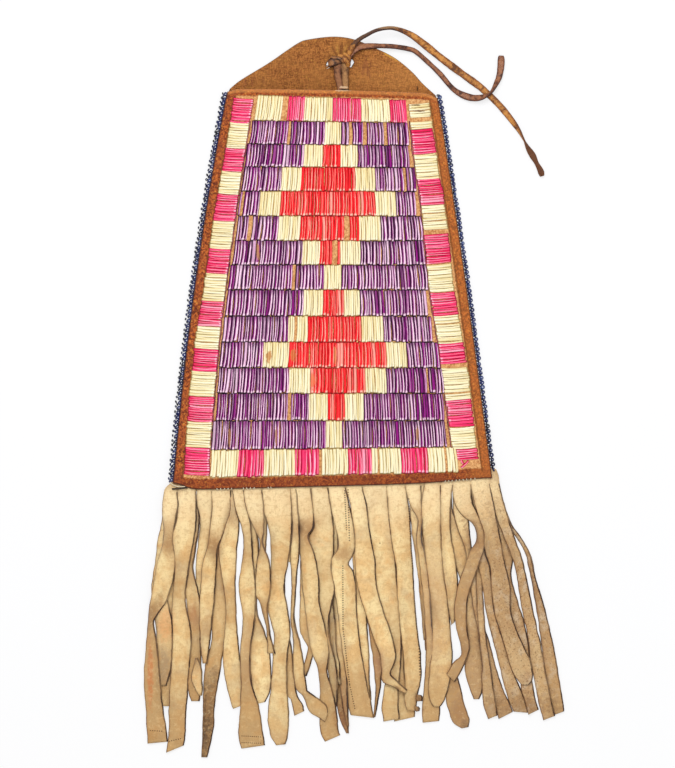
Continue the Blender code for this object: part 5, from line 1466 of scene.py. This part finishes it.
for name, tint, ends in (("seam_thread_dark", (8, 6, 8), dark_ends),
                         ("seam_thread_pale", (240, 226, 196), pale_ends)):
    points, faces = [], []
    for line, thickness in ends:
        line = smooth_line(line, THREAD_RINGS)
        thick = np.full(THREAD_RINGS, thickness)
        tube, _ = strip_along(line, thick, thick, 0 * thick, THREAD_SIDES)
        base = THREAD_RINGS * THREAD_SIDES * len(points)
        faces += [[corner + base for corner in face] for face in tube_faces(THREAD_RINGS, THREAD_SIDES)]
        points.append(tube)
    piece = new_piece(name, np.concatenate(points), faces)
    finish = Finish(name, roughness=0.8)
    fibres = finish.clouds(1500, 3.0)
    dress(piece, finish.give((fibres * 0.4).tint(tint, (120, 96, 74)), fibres, 0.0002), "fringe_hide")

# The floor and the light: a plain white floor, two large soft lamps, the stronger one beyond the flap, and a
# pale room that fills the shadows.
FLOOR_GAP = 0.0001
FLOOR_HALF = 3.0
FLOOR_GLOW = 0.72
ROOM_STRENGTH = 0.55
WHITE = (1.0, 1.0, 1.0, 1.0)


def straight_view(tree):
    """1 for what is seen straight, in a mirror or through glass, and 0 for light that bounces."""
    rays = Dye(tree).node("ShaderNodeLightPath")
    seen = rays.twin("Is Camera Ray")
    for label in ("Is Glossy Ray", "Is Transmission Ray"):
        seen = seen.maths("MAXIMUM", rays.twin(label))
    return seen


finish = Finish("studio_floor", roughness=1.0)
finish.shader.inputs["Base Color"].default_value = (0.90, 0.90, 0.92, 1.0)
finish.shader.inputs["Specular IOR Level"].default_value = 0.0
glow = finish.node("ShaderNodeEmission", inputs={"Color": WHITE, "Strength": 1.0})
white = finish.node("ShaderNodeMixShader", inputs={
    0: straight_view(finish.tree) * FLOOR_GLOW, 1: Dye(finish.tree, finish.shader.outputs[0]), 2: glow})
finish.tree.links.new(white.socket, finish.tree.nodes["Material Output"].inputs["Surface"])
corners = [(x * FLOOR_HALF, y * FLOOR_HALF, -FLOOR_GAP) for x, y in ((-1, -1), (1, -1), (1, 1), (-1, 1))]
floor = new_piece("floor", np.array(corners), [[0, 1, 2, 3]], smooth=False)
floor.data.materials.append(finish.material)

for name, place, size, power in (
        ("key_lamp", (-0.16, 0.56, 1.42), 0.7, 13.5),
        ("fill_lamp", (0.7, -0.6, 1.4), 1.2, 4.0)):
    lamp = bpy.data.lights.new(name, "AREA")
    lamp.size = size
    lamp.energy = power
    holder = bpy.data.objects.new(name, lamp)
    holder.location = place
    aim = -np.array(place) / np.linalg.norm(place)
    holder.rotation_euler = (math.acos(-aim[2]), 0.0, math.atan2(-aim[0], aim[1]))
    bpy.context.scene.collection.objects.link(holder)

room = bpy.data.worlds.new("room")
room.use_nodes = True
bpy.context.scene.world = room
tree = room.node_tree
background = tree.nodes["Background"]
background.inputs["Color"].default_value = WHITE
background.inputs["Strength"].default_value = ROOM_STRENGTH
seen = straight_view(tree)
bright = seen.node("ShaderNodeBackground", inputs={"Color": WHITE, "Strength": 1.0})
mixed = seen.node("ShaderNodeMixShader", inputs={0: seen, 1: Dye(tree, background.outputs[0]), 2: bright})
tree.links.new(mixed.socket, tree.nodes["World Output"].inputs["Surface"])
bpy.context.scene.view_settings.view_transform = "Standard"
